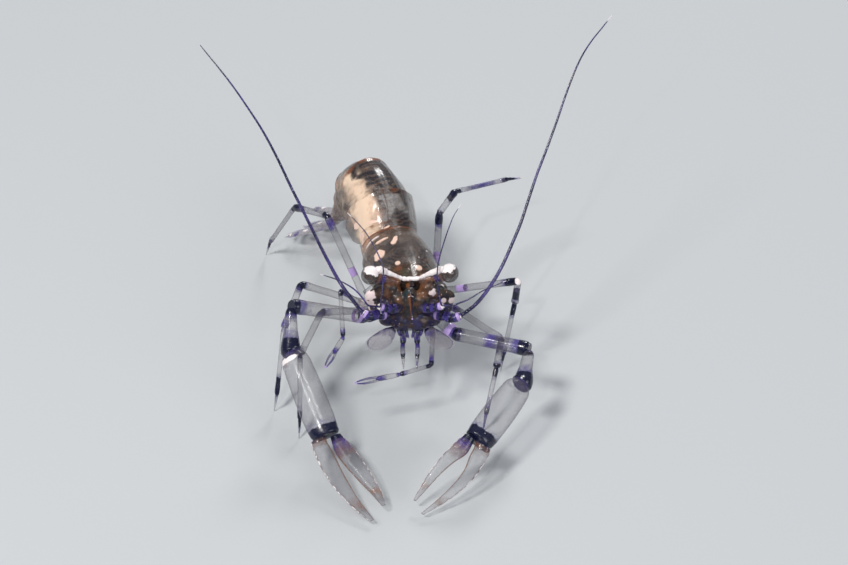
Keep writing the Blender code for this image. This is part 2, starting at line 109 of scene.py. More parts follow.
def flat_faces(corners, triangles):
    """Groups of neighbouring triangles that lie in one plane."""
    spots = corners[np.array(triangles)]
    normals = unit(np.cross(spots[:, 1] - spots[:, 0], spots[:, 2] - spots[:, 0]))
    owner = list(range(len(triangles)))

    def root(one):
        while owner[one] != one:
            one = owner[one]
        return one

    seen = {}
    for number, (a, b, c) in enumerate(triangles):
        for edge in (frozenset((a, b)), frozenset((b, c)), frozenset((c, a))):
            if edge in seen and normals[seen[edge]] @ normals[number] > 1 - 1e-6:
                owner[root(seen[edge])] = root(number)
            seen[edge] = number
    groups = {}
    for number in range(len(triangles)):
        groups.setdefault(root(number), []).append(number)
    return list(groups.values()), normals


def rings_from(cap, links):
    """The rings of a loft walked out from an end cap, as far as they keep its count."""
    level, seen, levels = set(cap), set(cap), []
    while len(level) == len(cap):
        levels.append(sorted(level))
        level = {after for corner in level for after in links[corner]} - seen
        seen |= level
    return levels


def ring_order(level, triangles):
    """A ring's corners in their order round it, from the triangles' own edges."""
    inside, edges = set(level), {}
    for triangle in triangles:
        within = [corner for corner in triangle if corner in inside]
        if len(within) == 2:
            edges.setdefault(within[0], set()).add(within[1])
            edges.setdefault(within[1], set()).add(within[0])
    chain = [level[0]]
    while len(chain) < len(level):
        chain.append(min(edges[chain[-1]] - set(chain)))
    return chain


def loft_rings(node, near):
    """A solid's rings, from the end nearer to a point, with matching corners in line."""
    corners, triangles = solid_mesh(node)
    links = [set() for _ in corners]
    for a, b, c in triangles:
        links[a] |= {b, c}
        links[b] |= {a, c}
        links[c] |= {a, b}
    caps = [sorted({corner for number in group for corner in triangles[number]})
            for group in flat_faces(corners, triangles)[0] if len(group) > 2]
    other, levels = sorted((rings_from(cap, links) for cap in caps), key=len)[-2:]
    missing = math.ceil(len(corners) / len(levels[0])) - len(levels)
    if missing:
        while set(levels[-1]) & set(other[-1]):
            levels.pop()
            missing += 1
        levels += [None] * (missing - len(other)) + other[::-1]
    if (np.linalg.norm(corners[levels[0]].mean(0) - near)
            > np.linalg.norm(corners[levels[-1]].mean(0) - near)):
        levels.reverse()
    rings = []
    for level in levels:
        ring = rings[-1] if level is None else corners[ring_order(level, triangles)]
        if rings:
            before = rings[-1] - rings[-1].mean(0)
            choices = [np.roll(turned, shift, axis=0) for turned in (ring, ring[::-1])
                       for shift in range(len(ring))]
            ring = min(choices, key=lambda choice: np.abs(
                choice - choice.mean(0) - before).sum())
        rings.append(ring)
    for number, level in enumerate(levels):
        if level is None:
            rings[number] = (rings[number - 1] + rings[number + 1]) / 2
    return np.array(rings)


SECTION_ANGLES = np.arange(-180.0, 180.0, 10.0)


def body_sections(node, near, stations):
    """Cross-sections of a body solid from its front cap to its rear cap. Each has a point
    every ten degrees, from under the belly round by the animal's right to its left."""
    corners, triangles = solid_mesh(node)
    groups, normals = flat_faces(corners, triangles)
    spots = corners[np.array(triangles)]
    areas = np.linalg.norm(np.cross(spots[:, 1] - spots[:, 0], spots[:, 2] - spots[:, 0]),
                           axis=1)
    caps = []
    for group in sorted(groups, key=lambda group: areas[group].sum())[-2:]:
        share = areas[group] / areas[group].sum()
        caps.append((share @ spots[group].mean(1), normals[group[0]]))
    caps.sort(key=lambda cap: np.linalg.norm(cap[0] - near))
    (start, back), (end, on) = caps
    reach = np.linalg.norm(end - start)
    start_on, end_on = -back * reach, on * reach
    tree = BVHTree.FromPolygons(corners.tolist(), triangles)
    around = np.radians(SECTION_ANGLES)
    rings = []
    for t in np.linspace(0.015, 0.985, stations):
        middle = ((2 * t ** 3 - 3 * t ** 2 + 1) * start + (t ** 3 - 2 * t ** 2 + t) * start_on
                  + (3 * t ** 2 - 2 * t ** 3) * end + (t ** 3 - t ** 2) * end_on)
        ahead = unit((1 - t) * start_on + t * end_on)
        left = unit(np.cross(ahead, UP))
        up = np.cross(left, ahead)
        rays = np.cos(around)[:, None] * up + np.sin(around)[:, None] * left
        rings.append([np.array(tree.ray_cast(Vector(middle), Vector(ray))[0])
                      for ray in rays])
    return np.array(rings)


def ring_frames(rings):
    """Each ring's centre, and the animal's left, its back and the way on, at each ring."""
    centres = rings.mean(1)
    ahead = unit(np.gradient(centres, axis=0))
    left = unit(np.cross(ahead, UP))
    return centres, left, np.cross(left, ahead), ahead


# ------------------------------------------------------------------ smooth grids and meshes

def spline(p0, p1, p2, p3, t):
    """The smooth curve through four points in a row, from the second to the third."""
    return 0.5 * (2 * p1 + (p2 - p0) * t + (2 * p0 - 5 * p1 + 4 * p2 - p3) * t ** 2
                  + (3 * p1 - p0 - 3 * p2 + p3) * t ** 3)


def sample(points, places, closed=False):
    """Points on the smooth curve through rows, at fractional row numbers."""
    total = len(points)
    places = np.asarray(places, float)
    index = np.floor(places).astype(int)
    if not closed:
        index = np.clip(index, 0, total - 2)
    t = (places - index).reshape((-1,) + (1,) * (points.ndim - 1))
    wrap = (lambda k: k % total) if closed else (lambda k: np.clip(k, 0, total - 1))
    return spline(*(points[wrap(index + k)] for k in (-1, 0, 1, 2)), t)


def fine_rings(rings, rows, around):
    """A finer grid on the smooth closed surface through the rings."""
    total, sides = rings.shape[:2]
    tall = sample(rings, np.linspace(0, total - 1, rows))
    wide = sample(tall.transpose(1, 0, 2), np.arange(around) * sides / around, closed=True)
    return wide.transpose(1, 0, 2)


def arc_lengths(points):
    return np.concatenate(([0.0], np.cumsum(np.linalg.norm(np.diff(points, axis=0), axis=1))))


def share_down(line):
    """Each point's share of the way down a line."""
    lengths = arc_lengths(line)
    return lengths / lengths[-1]


def lengths_down(grid):
    """How far down a skin each of its points lies."""
    return arc_lengths(grid.mean(1))[:, None] * np.ones(grid.shape[1])


def share_round(grid):
    """Each point's share of the way round a skin."""
    return np.broadcast_to(np.arange(grid.shape[1]) / grid.shape[1], grid.shape[:2])


def even_path(points, step, smooth=True):
    """A path through the points with about step millimetres between its own points."""
    points = np.asarray(points, float)
    if smooth:
        points = sample(points, np.linspace(0, len(points) - 1, 16 * len(points)))
    lengths = arc_lengths(points)
    count = max(int(lengths[-1] / step), 8)
    places = np.linspace(0, lengths[-1], count)
    return np.stack([np.interp(places, lengths, points[:, k]) for k in range(3)], 1)


def ripple(points, size, seed=0.0):
    """Smooth noise from -1 to 1 at each point, size millimetres from crest to crest."""
    flat = np.asarray(points).reshape(-1, 3) / size
    values = [noise.noise(Vector(point) + Vector((seed, -seed, seed))) for point in flat]
    return np.array(values).reshape(np.asarray(points).shape[:-1])


def new_object(name, data):
    """An object put in the scene."""
    piece = bpy.data.objects.new(name, data)
    bpy.context.scene.collection.objects.link(piece)
    return piece


def keep_fields(mesh, fields):
    """Keep number fields on a mesh's points."""
    for key, values in fields.items():
        layer = mesh.attributes.new(key, "FLOAT", "POINT")
        layer.data.foreach_set("value", np.asarray(values, float).ravel())


def put_mesh(name, corners, faces=(), fields=None, edges=()):
    """A mesh object from corners in millimetres, with number fields kept on its points."""
    mesh = bpy.data.meshes.new(name)
    mesh.from_pydata((np.asarray(corners) * MM).tolist(), edges, faces)
    keep_fields(mesh, fields or {})
    return new_object(name, mesh)


def grid_faces(rows, columns, closed):
    last = columns if closed else columns - 1
    return [(row * columns + column, row * columns + (column + 1) % columns,
             (row + 1) * columns + (column + 1) % columns, (row + 1) * columns + column)
            for row in range(rows - 1) for column in range(last)]


def face_outward(piece):
    """Point the faces outwards, once the doubles are merged."""
    work = bmesh.new()
    work.from_mesh(piece.data)
    bmesh.ops.remove_doubles(work, verts=work.verts, dist=0.0005 * MM)
    bmesh.ops.recalc_face_normals(work, faces=work.faces)
    work.to_mesh(piece.data)
    work.free()
    piece.data.shade_smooth()


def closed_skin(name, grid, fields=None):
    """A closed skin from rings of points, drawn to a pole at each end."""
    rows, columns = grid.shape[:2]
    corners = np.concatenate([grid.reshape(-1, 3), [grid[0].mean(0)], [grid[-1].mean(0)]])
    first, last = rows * columns, rows * columns + 1
    faces = grid_faces(rows, columns, True)
    for column in range(columns):
        after = (column + 1) % columns
        faces.append((first, after, column))
        faces.append((last, (rows - 1) * columns + column, (rows - 1) * columns + after))
    full = {field: np.concatenate([values.ravel(), [values[0].mean()], [values[-1].mean()]])
            for field, values in (fields or {}).items()}
    piece = put_mesh(name, corners, faces, full)
    face_outward(piece)
    return piece


def plain_copy(piece):
    """Turn an object's live modifiers into a plain mesh."""
    shape = piece.evaluated_get(bpy.context.evaluated_depsgraph_get())
    mesh = bpy.data.meshes.new_from_object(shape)
    piece.modifiers.clear()
    old, piece.data = piece.data, mesh
    bpy.data.meshes.remove(old)
    mesh.name = piece.name
    return piece


def plate_skin(name, grid, fields, thickness):
    """An open sheet of shell with a wall of its own, grown inwards."""
    rows, columns = grid.shape[:2]
    piece = put_mesh(name, grid.reshape(-1, 3), grid_faces(rows, columns, False), fields)
    mesh = piece.data
    middle = grid.reshape(-1, 3).mean(0) * MM
    facing = sum(face.normal.dot(face.center - Vector(middle)) for face in mesh.polygons)
    if facing < 0:
        mesh.flip_normals()
    wall = piece.modifiers.new("wall", "SOLIDIFY")
    wall.thickness = thickness * MM
    wall.offset = -1.0
    plain_copy(piece)
    piece.data.shade_smooth()
    return piece


def finish_piece(piece, node=None, material=None):
    """Give a piece its material and its body, and hide the solid that it stands for."""
    if material is not None:
        piece.data.materials.clear()
        piece.data.materials.append(material)
    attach(piece, "root")
    if node:
        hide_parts(node)


def skin_piece(name, grid, fields, finish, node=None):
    finish_piece(closed_skin(name, grid, fields), node, finish)


def joined(name, parts):
    """Several meshes as one piece."""
    work = bmesh.new()
    for part in parts:
        work.from_mesh(part.data)
    piece = new_object(name, bpy.data.meshes.new(name))
    work.to_mesh(piece.data)
    work.free()
    for material in parts[0].data.materials:
        piece.data.materials.append(material)
    for part in parts:
        bpy.data.objects.remove(part, do_unlink=True)
    return piece


# ------------------------------------------------------------------ finishes

def fill(tree, socket, value):
    """Give an input a plain value, or join it to another node's socket."""
    if isinstance(value, bpy.types.NodeSocket):
        tree.links.new(value, socket)
    else:
        socket.default_value = value


def add(tree, kind, inputs=None, **settings):
    """A node with its settings, whose inputs are values or other nodes' sockets."""
    node = tree.nodes.new(kind)
    for key, value in settings.items():
        setattr(node, key, value)
    for key, value in (inputs or {}).items():
        fill(tree, node.inputs[key], value)
    return node


def calc(tree, operation, a, b=0.0, clamp=False):
    return add(tree, "ShaderNodeMath", {0: a, 1: b}, operation=operation,
               use_clamp=clamp).outputs[0]


def times(tree, a, b):
    return calc(tree, "MULTIPLY", a, b)


def plus(tree, a, b):
    return calc(tree, "ADD", a, b)


def tint(tree, mask, below, above):
    """One colour laid over another where the mask says."""
    return add(tree, "ShaderNodeMix", {0: mask, 6: below, 7: above},
               data_type="RGBA").outputs[2]


def level(tree, mask, below, above):
    """One number laid over another where the mask says."""
    return add(tree, "ShaderNodeMix", {0: mask, 2: below, 3: above}).outputs[0]


def remap(tree, value, low, high):
    """0 at the low value, rising smoothly to 1 at the high one."""
    return add(tree, "ShaderNodeMapRange", {0: value, 1: low, 2: high},
               interpolation_type="SMOOTHSTEP").outputs[0]


def field(tree, name):
    return add(tree, "ShaderNodeAttribute", attribute_name=name).outputs["Fac"]


def millimetres(tree):
    """Object coordinates in millimetres."""
    place = add(tree, "ShaderNodeTexCoord").outputs["Object"]
    return add(tree, "ShaderNodeVectorMath", {0: place, "Scale": 1 / MM},
               operation="SCALE").outputs[0]


def cloud(tree, scale, detail):
    """Soft noise over a piece, at a scale to the millimetre."""
    return add(tree, "ShaderNodeTexNoise", {"Vector": millimetres(tree), "Scale": scale,
                                            "Detail": detail}).outputs[0]


def cells(tree, scale, **settings):
    """How far each place is from the nearest of scattered points or of their borders."""
    return add(tree, "ShaderNodeTexVoronoi", {"Vector": millimetres(tree), "Scale": scale},
               **settings).outputs["Distance"]


def new_group(name, inputs, outputs):
    """A shader node group with number inputs and number outputs."""
    group = bpy.data.node_groups.new(name, "ShaderNodeTree")
    for title, default in inputs:
        socket = group.interface.new_socket(title, in_out="INPUT",
                                            socket_type="NodeSocketFloat")
        socket.default_value = default
    for title in outputs:
        group.interface.new_socket(title, in_out="OUTPUT", socket_type="NodeSocketFloat")
    return group, group.nodes.new("NodeGroupInput").outputs, group.nodes.new(
        "NodeGroupOutput").inputs


def make_ragged_patch():
    """A painted field's own outline, torn by fine noise as pigment is."""
    group, given, put = new_group("ragged patch", [("Field", 0.0), ("Grain per mm", 6.0),
                                                   ("Tear", 0.35), ("Edge", 0.12)], ["Mask"])
    torn = times(group, calc(group, "SUBTRACT", cloud(group, given["Grain per mm"], 4.0),
                             0.5), given["Tear"])
    low = calc(group, "SUBTRACT", 0.5, given["Edge"])
    high = plus(group, 0.5, given["Edge"])
    group.links.new(remap(group, plus(group, given["Field"], torn), low, high), put["Mask"])
    return group


def make_specks_and_glints():
    """Small round specks, scattered, some places thick and some bare: pigment spots, or painted
    glints on the innards.
    """
    group, given, put = new_group("specks and glints", [("Cells per mm", 8.0), ("Size", 0.2),
                                                    ("Bare", 0.5)], ["Mask"])
    dot = remap(group, cells(group, given["Cells per mm"]), times(group, given["Size"], 1.3),
                times(group, given["Size"], 0.7))
    kept = remap(group, cloud(group, 1.1, 2.0), given["Bare"],
                 plus(group, given["Bare"], 0.12))
    group.links.new(times(group, dot, kept), put["Mask"])
    return group


def make_cuticle():
    """The fine relief and wet gloss of thin shell: pores, faint wrinkles and smears."""
    group, given, put = new_group("cuticle", [("Pores per mm", 30.0), ("Wrinkles per mm", 5.0),
                                              ("Roughness", 0.16)], ["Height", "Gloss"])
    dents = remap(group, cells(group, given["Pores per mm"]), 0.05, 0.35)
    wrinkles = cloud(group, given["Wrinkles per mm"], 5.0)
    height = plus(group, times(group, dents, 0.25), times(group, wrinkles, 0.75))
    group.links.new(height, put["Height"])
    smears = times(group, cloud(group, 2.2, 3.0), 0.14)
    group.links.new(plus(group, given["Roughness"], smears), put["Gloss"])
    return group


def make_fibres():
    """Bundles of muscle seen through shell: fine lines across the field's own direction."""
    group, given, put = new_group("fibres", [("Along", 0.0), ("Lines per mm", 6.0),
                                             ("Waver", 0.3)], ["Mask"])
    bent = plus(group, given["Along"], times(group, cloud(group, 1.6, 3.0), given["Waver"]))
    wave = calc(group, "SINE", times(group, times(group, bent, math.tau),
                                     given["Lines per mm"]))
    mask = times(group, remap(group, wave, 0.1, 0.95), cloud(group, 5.0, 3.0))
    group.links.new(mask, put["Mask"])
    return group


GROUPS = {"ragged": make_ragged_patch(), "specks": make_specks_and_glints(), "cuticle": make_cuticle(),
          "fibres": make_fibres()}


def use(tree, group, **inputs):
    node = tree.nodes.new("ShaderNodeGroup")
    node.node_tree = GROUPS[group]
    for key, value in inputs.items():
        fill(tree, node.inputs[key.replace("_", " ")], value)
    return node.outputs


def rgb(red, green, blue):
    return (red, green, blue, 1.0)


NAVY = rgb(0.0022, 0.0035, 0.026)
VIOLET = rgb(0.050, 0.030, 0.230)
LILAC = rgb(0.500, 0.350, 0.720)
WHITE = rgb(0.930, 0.850, 0.850)
PEACH = rgb(0.900, 0.640, 0.520)
ORANGE = rgb(0.260, 0.095, 0.035)
SMOKE = rgb(0.085, 0.052, 0.036)
GLASSY = rgb(0.130, 0.120, 0.150)
RUST = rgb(0.190, 0.058, 0.022)


class Finish:
    """One material under way: its tree, its shader, its colour so far and its body so far."""

    def __init__(self, name, colour, body, rim, rim_power=2.1, roughness=0.16, pores=30.0,
                 wrinkles=5.0, relief=0.02, coat=0.3):
        self.material = bpy.data.materials.new(name)
        self.material.use_nodes = True
        self.tree = self.material.node_tree
        self.shader = self.tree.nodes["Principled BSDF"]
        self.colour, self.body = colour, body
        self.rim, self.rim_power = rim, rim_power
        relief_in = use(self.tree, "cuticle", Pores_per_mm=pores, Wrinkles_per_mm=wrinkles,
                        Roughness=roughness)
        bump = add(self.tree, "ShaderNodeBump", {"Height": relief_in["Height"],
                                                 "Strength": 0.5, "Distance": relief * MM})
        self.tree.links.new(bump.outputs[0], self.shader.inputs["Normal"])
        self.tree.links.new(relief_in["Gloss"], self.shader.inputs["Roughness"])
        self.shader.inputs["Coat Weight"].default_value = coat
        self.shader.inputs["Coat Roughness"].default_value = 0.05
        self.shader.inputs["Coat IOR"].default_value = 1.5
        self.shader.inputs["IOR"].default_value = 1.45

    def lay(self, mask, colour, body=None):
        """Lay a colour over what is there, pigment or painted light; body is how much it hides,
        if it hides more or less than what is under it."""
        self.colour = tint(self.tree, mask, self.colour, colour)
        if body is not None:
            self.body = level(self.tree, mask, self.body, body)

    def paint(self, *coats):
        """Lay coats of paint, each where its field says: the field, the colour, how much it
        hides, and the grain, tear and edge of its outline."""
        for name, colour, body, grain, tear, edge in coats:
            mask = use(self.tree, "ragged", Field=field(self.tree, name), Grain_per_mm=grain,
                       Tear=tear, Edge=edge)["Mask"]
            self.lay(mask, colour, body)

    def lines(self, along, per_mm, waver, colour, body, strength=1.0):
        """Lay fine lines across the way in which the named field grows."""
        mask = use(self.tree, "fibres", Along=field(self.tree, along), Lines_per_mm=per_mm,
                   Waver=waver)["Mask"]
        self.lay(times(self.tree, mask, strength), colour, body)

    def speckle(self, per_mm, size, bare, colour, body, strength=1.0):
        """Scatter small round specks: pigment spots, or painted glints where the innards use
        them.
        """
        mask = use(self.tree, "specks", Cells_per_mm=per_mm, Size=size, Bare=bare)["Mask"]
        self.lay(times(self.tree, mask, strength), colour, body)

    def mottle(self, scale, detail, low, high):
        """A mask of soft blotches."""
        return remap(self.tree, cloud(self.tree, scale, detail), low, high)

    def done(self):
        """Join up the colour and the see-through body, thicker where it is seen edge on."""
        fill(self.tree, self.shader.inputs["Base Color"], self.colour)
        alpha = self.body
        if self.rim > 0:
            facing = add(self.tree, "ShaderNodeLayerWeight", {"Blend": 0.5}).outputs["Facing"]
            edge = calc(self.tree, "POWER", facing, self.rim_power)
            gap = calc(self.tree, "SUBTRACT", 1.0, self.body)
            rim = calc(self.tree, "MULTIPLY", calc(self.tree, "MULTIPLY", edge, self.rim), gap)
            alpha = calc(self.tree, "ADD", self.body, rim, clamp=True)
        fill(self.tree, self.shader.inputs["Alpha"], alpha)
        return self.material


def shell_finish():
    """Clear smoky shell with pale torn spots and rust-coloured hems."""
    finish = Finish("clear shell", SMOKE, 0.15, 0.88, rim_power=2.6)
    tree = finish.tree
    finish.speckle(9.0, 0.14, 0.5, RUST, 0.70, 0.6)
    # The first two coats are painted light, not pigment: the warm glow that falls on the right
    # flank, laid on as colour, dim and then bright.
    finish.paint(("cream", rgb(0.780, 0.450, 0.310), 0.52, 1.3, 1.7, 0.32),
                 ("painted_warm_glow", rgb(1.0, 0.765, 0.575), 0.80, 1.2, 1.4, 0.40),
                 ("smoke", rgb(0.026, 0.023, 0.030), 0.60, 1.2, 2.1, 0.22))
    # Fewer fibre lines show where the painted warm glow lies.
    plain = calc(tree, "SUBTRACT", 0.62, times(tree, field(tree, "painted_warm_glow"), 0.70), clamp=True)
    finish.lines("along", 4.4, 0.55, rgb(0.36, 0.23, 0.15), 0.50, plain)
    finish.paint(("rust", rgb(0.230, 0.075, 0.030), 0.70, 1.8, 1.8, 0.28),
                 ("peach", PEACH, 0.95, 3.2, 0.9, 0.06),
                 ("white", WHITE, 0.97, 4.0, 0.8, 0.06))
    return finish.done()


def flesh_finish():
    """Clear flesh under the shell, faintly banded by its muscle."""
    finish = Finish("clear flesh", rgb(0.19, 0.125, 0.095), 0.20, 0.25, roughness=0.34,
                    relief=0.03, coat=0.0)
    finish.lines("along", 2.4, 1.1, rgb(0.42, 0.27, 0.21), 0.36, 0.35)
    # The first coat is painted light, not pigment: the warm glow that falls on the right flank,
    # laid on as colour.
    finish.paint(("cream", rgb(0.97, 0.72, 0.54), 0.84, 1.2, 1.5, 0.40),
                 ("dark", rgb(0.018, 0.017, 0.030), 0.86, 1.2, 2.0, 0.22))
    return finish.done()


def innards_finish():
    """The stomach and gland, brown, orange, green and violet, with bright specks that are
    painted glints.
    """
    finish = Finish("innards", rgb(0.060, 0.030, 0.018), 0.97, 0.0, roughness=0.36,
                    relief=0.05, wrinkles=4.0)
    finish.lay(finish.mottle(3.0, 7.0, 0.36, 0.56), rgb(0.014, 0.012, 0.015), 0.97)
    finish.paint(("orange", rgb(0.170, 0.066, 0.026), 0.97, 2.0, 2.6, 0.34),
                 ("green", rgb(0.030, 0.072, 0.036), 0.97, 3.0, 0.7, 0.25),
                 ("teal", rgb(0.010, 0.042, 0.050), 0.97, 3.0, 0.7, 0.25),
                 ("violet", rgb(0.022, 0.016, 0.085), 0.97, 3.0, 1.2, 0.25),
                 ("pale", rgb(0.90, 0.74, 0.74), 0.98, 3.5, 1.4, 0.06))
    # Painted glints: the bright specks stand in for sparkles of light on the wet innards.
    finish.speckle(6.5, 0.13, 0.46, rgb(0.90, 0.70, 0.56), 1.0)
    return finish.done()


def limb_finish(name="clear limb", colour=GLASSY, body=0.16, rim=0.85):
    """Clear limb shell with torn navy bands edged in violet, and white and lilac spots."""
    finish = Finish(name, colour, body, rim, wrinkles=7.0)
    finish.lines("around", 2.0, 0.4, rgb(0.30, 0.28, 0.36), 0.40, 0.5)
    finish.paint(("orange", ORANGE, 0.62, 3.0, 0.9, 0.35),
                 ("violet", VIOLET, 0.78, 3.5, 0.9, 0.30),
                 ("navy", NAVY, 0.985, 3.5, 0.55, 0.10),
                 ("lilac", LILAC, 0.93, 4.0, 0.9, 0.10))
    finish.speckle(6.0, 0.12, 0.56, rgb(0.86, 0.82, 0.88), 0.95)
    finish.paint(("white", WHITE, 0.97, 4.5, 0.9, 0.08))
    return finish.done()


def feeler_finish():
    """Dark navy-violet feelers with fine rings and a few white specks."""
    finish = Finish("feeler", rgb(0.006, 0.006, 0.040), 0.99, 0.0, wrinkles=9.0)
    finish.lines("along", 5.5, 0.0, rgb(0.030, 0.022, 0.110), 0.97)
    finish.paint(("violet", rgb(0.070, 0.045, 0.230), 0.94, 3.0, 0.8, 0.3))
    finish.speckle(6.0, 0.14, 0.52, rgb(0.66, 0.64, 0.82), 1.0)
    finish.paint(("white", rgb(0.80, 0.74, 0.84), 0.95, 5.0, 0.6, 0.2))
    return finish.done()


def cornea_finish():
    """The eye's clear grey-brown cap, with its net of tiny facets and its white crown."""
    finish = Finish("cornea", rgb(0.085, 0.066, 0.060), 0.52, 0.7, roughness=0.08, pores=26.0,
                    relief=0.012, coat=0.8)
    tree = finish.tree
    net = remap(tree, cells(tree, 17.0, feature="DISTANCE_TO_EDGE"), 0.10, 0.02)
    finish.lay(times(tree, net, 0.5), rgb(0.06, 0.05, 0.06), 0.7)
    finish.paint(("white", WHITE, 0.98, 5.0, 1.1, 0.05))
    return finish.done()


def core_finish():
    """The eye's dark heart, seen through the cornea."""
    finish = Finish("eye core", rgb(0.030, 0.024, 0.035), 1.0, 0.0, roughness=0.3)
    finish.lay(finish.mottle(9.0, 4.0, 0.4, 0.62), rgb(0.19, 0.12, 0.10))
    return finish.done()


def gut_finish():
    """The thin dark line of the gut."""
    finish = Finish("gut", rgb(0.06, 0.04, 0.03), 0.34, 0.0, roughness=0.4, relief=0.03)
    finish.lay(finish.mottle(5.0, 3.0, 0.4, 0.6), rgb(0.30, 0.13, 0.06))
    return finish.done()


SHELL, FLESH, INNARDS, LIMB = shell_finish(), flesh_finish(), innards_finish(), limb_finish()
FEELER, CORNEA, CORE = feeler_finish(), cornea_finish(), core_finish()
GUT = gut_finish()
BRISTLE = Finish("bristle", rgb(0.46, 0.43, 0.55), 0.62, 0.0, roughness=0.3).done()
MOUTH = limb_finish("mouth shell", rgb(0.040, 0.032, 0.085), 0.50, 0.60)
FAN = limb_finish("fan shell", rgb(0.26, 0.23, 0.27), 0.24, 0.60)


# ------------------------------------------------------------------ geometry node tools

def new_maker(name, numbers):
    """A geometry tree with a shape in and out, named number inputs and a material input."""
    tree = bpy.data.node_groups.new(name, "GeometryNodeTree")
    tree.interface.new_socket("Shape", in_out="INPUT", socket_type="NodeSocketGeometry")
    for title, kind in numbers:
        tree.interface.new_socket(title, in_out="INPUT", socket_type=kind)
    tree.interface.new_socket("Finish", in_out="INPUT", socket_type="NodeSocketMaterial")
    tree.interface.new_socket("Shape", in_out="OUTPUT", socket_type="NodeSocketGeometry")
    return tree, tree.nodes.new("NodeGroupInput").outputs, tree.nodes.new(
        "NodeGroupOutput").inputs


def end_maker(tree, shape, given, put):
    """Every tree ends by making its copies real and giving them the finish."""
    real = add(tree, "GeometryNodeRealizeInstances", {"Geometry": shape})
    smooth = add(tree, "GeometryNodeSetShadeSmooth", {"Geometry": real.outputs[0]})
    done = add(tree, "GeometryNodeSetMaterial", {"Geometry": smooth.outputs[0],
                                                 "Material": given["Finish"]})
    tree.links.new(done.outputs[0], put["Shape"])


def named(tree, name, kind="FLOAT"):
    return add(tree, "GeometryNodeInputNamedAttribute", {"Name": name},
               data_type=kind).outputs["Attribute"]


def make_tube_maker():
    """A skin swept along a path, as thick at each point as the path's girth field says."""
    tree, given, put = new_maker("swept limb", [("Sides", "NodeSocketInt")])
    path = add(tree, "GeometryNodeMeshToCurve", {"Mesh": given["Shape"]})
    hoop = add(tree, "GeometryNodeCurvePrimitiveCircle", {"Resolution": given["Sides"],
                                                          "Radius": 1.0})
    turn = add(tree, "GeometryNodeSplineParameter").outputs["Factor"]
    marked = add(tree, "GeometryNodeStoreNamedAttribute",
                 {"Geometry": hoop.outputs["Curve"], "Name": "around", "Value": turn},
                 data_type="FLOAT", domain="POINT")
    skin = add(tree, "GeometryNodeCurveToMesh",
               {"Curve": path.outputs[0], "Profile Curve": marked.outputs[0],
                "Scale": named(tree, "girth"), "Fill Caps": True})
    end_maker(tree, skin.outputs[0], given, put)
    return tree


def make_bristle_maker():
    """A fine tapered bristle on every point, along the point's own lie and as long as it."""
    tree, given, put = new_maker("bristles", [("Thickness", "NodeSocketFloat"),
                                              ("Seed", "NodeSocketInt")])
    bristle = add(tree, "GeometryNodeMeshCone",
                  {"Vertices": 3, "Side Segments": 2, "Radius Top": 0.0,
                   "Radius Bottom": 1.0, "Depth": 1.0})
    lie = named(tree, "lie", "FLOAT_VECTOR")
    turned = add(tree, "FunctionNodeAlignRotationToVector", {"Vector": lie}, axis="Z")
    reach = add(tree, "ShaderNodeVectorMath", {0: lie}, operation="LENGTH").outputs["Value"]
    spread = add(tree, "FunctionNodeRandomValue", {"Seed": given["Seed"]})
    spread.inputs[2].default_value, spread.inputs[3].default_value = 0.75, 1.0
    length = add(tree, "ShaderNodeMath", {0: reach, 1: spread.outputs[1]},
                 operation="MULTIPLY").outputs[0]
    size = add(tree, "ShaderNodeCombineXYZ", {"X": given["Thickness"],
                                              "Y": given["Thickness"], "Z": length})
    planted = add(tree, "GeometryNodeInstanceOnPoints",
                  {"Points": given["Shape"], "Instance": bristle.outputs["Mesh"],
                   "Rotation": turned.outputs[0], "Scale": size.outputs[0]})
    end_maker(tree, planted.outputs[0], given, put)
    return tree


TUBE_MAKER, BRISTLE_MAKER = make_tube_maker(), make_bristle_maker()


def run_maker(piece, tree, values):
    """Run a geometry tree on a piece and keep the plain mesh that comes out."""
    modifier = piece.modifiers.new(tree.name, "NODES")
    modifier.node_group = tree
    for item in tree.interface.items_tree:
        if item.item_type == "SOCKET" and item.in_out == "INPUT" and item.name in values:
            modifier[item.identifier] = values[item.name]
    return plain_copy(piece)


def bare(shape):
    """A limb's fields with no pigment in any of them."""
    return {key: np.zeros(shape) for key in ("navy", "violet", "lilac", "white", "orange")}


def swept(name, points, girth, fields, finish, sides):
    """A limb or feeler along a path of points, in millimetres."""
    full = bare(len(points))
    full.update(fields)
    full["girth"] = np.asarray(girth) * MM
    full["along"] = arc_lengths(points)
    piece = put_mesh(name, points, (), full, [(k, k + 1) for k in range(len(points) - 1)])
    run_maker(piece, TUBE_MAKER, {"Sides": sides, "Finish": finish})
    return piece


def swept_piece(name, points, girth, fields, finish, sides, node=None):
    finish_piece(swept(name, points, girth, fields, finish, sides), node)


def bristles(name, roots, lies, thickness, seed):
    """Bristles from roots, each along its own lie, whose length is the bristle's."""
    piece = put_mesh(name, roots)
    layer = piece.data.attributes.new("lie", "FLOAT_VECTOR", "POINT")
    layer.data.foreach_set("vector", (np.asarray(lies) * MM).ravel())
    run_maker(piece, BRISTLE_MAKER, {"Thickness": thickness * MM, "Seed": seed,
                                     "Finish": BRISTLE})
    finish_piece(piece)


# ------------------------------------------------------------------ paint along a limb

def bump_at(places, centre, half, soft=0.5):
    """A field that is 1 around a centre and falls through 0.5 at half a width away."""
    return np.clip(0.5 + (half - np.abs(places - centre)) / (2 * soft * half), 0.0, 1.0)


def most(*fields):
    return np.maximum.reduce([np.asarray(values) for values in fields])


# ------------------------------------------------------------------ the carapace

EYE_LINE = (box_middle("eye_left") + box_middle("eye_right")) / 2
CARAPACE = body_sections("carapace", EYE_LINE, 13)
# The thickness of the shell plates, in millimetres.
SHELL_WALL = 0.045
# How far a body surface runs on past its solid's own first and last sections.
RUN_ON_FRONT, RUN_ON_REAR = 0.45, 0.5


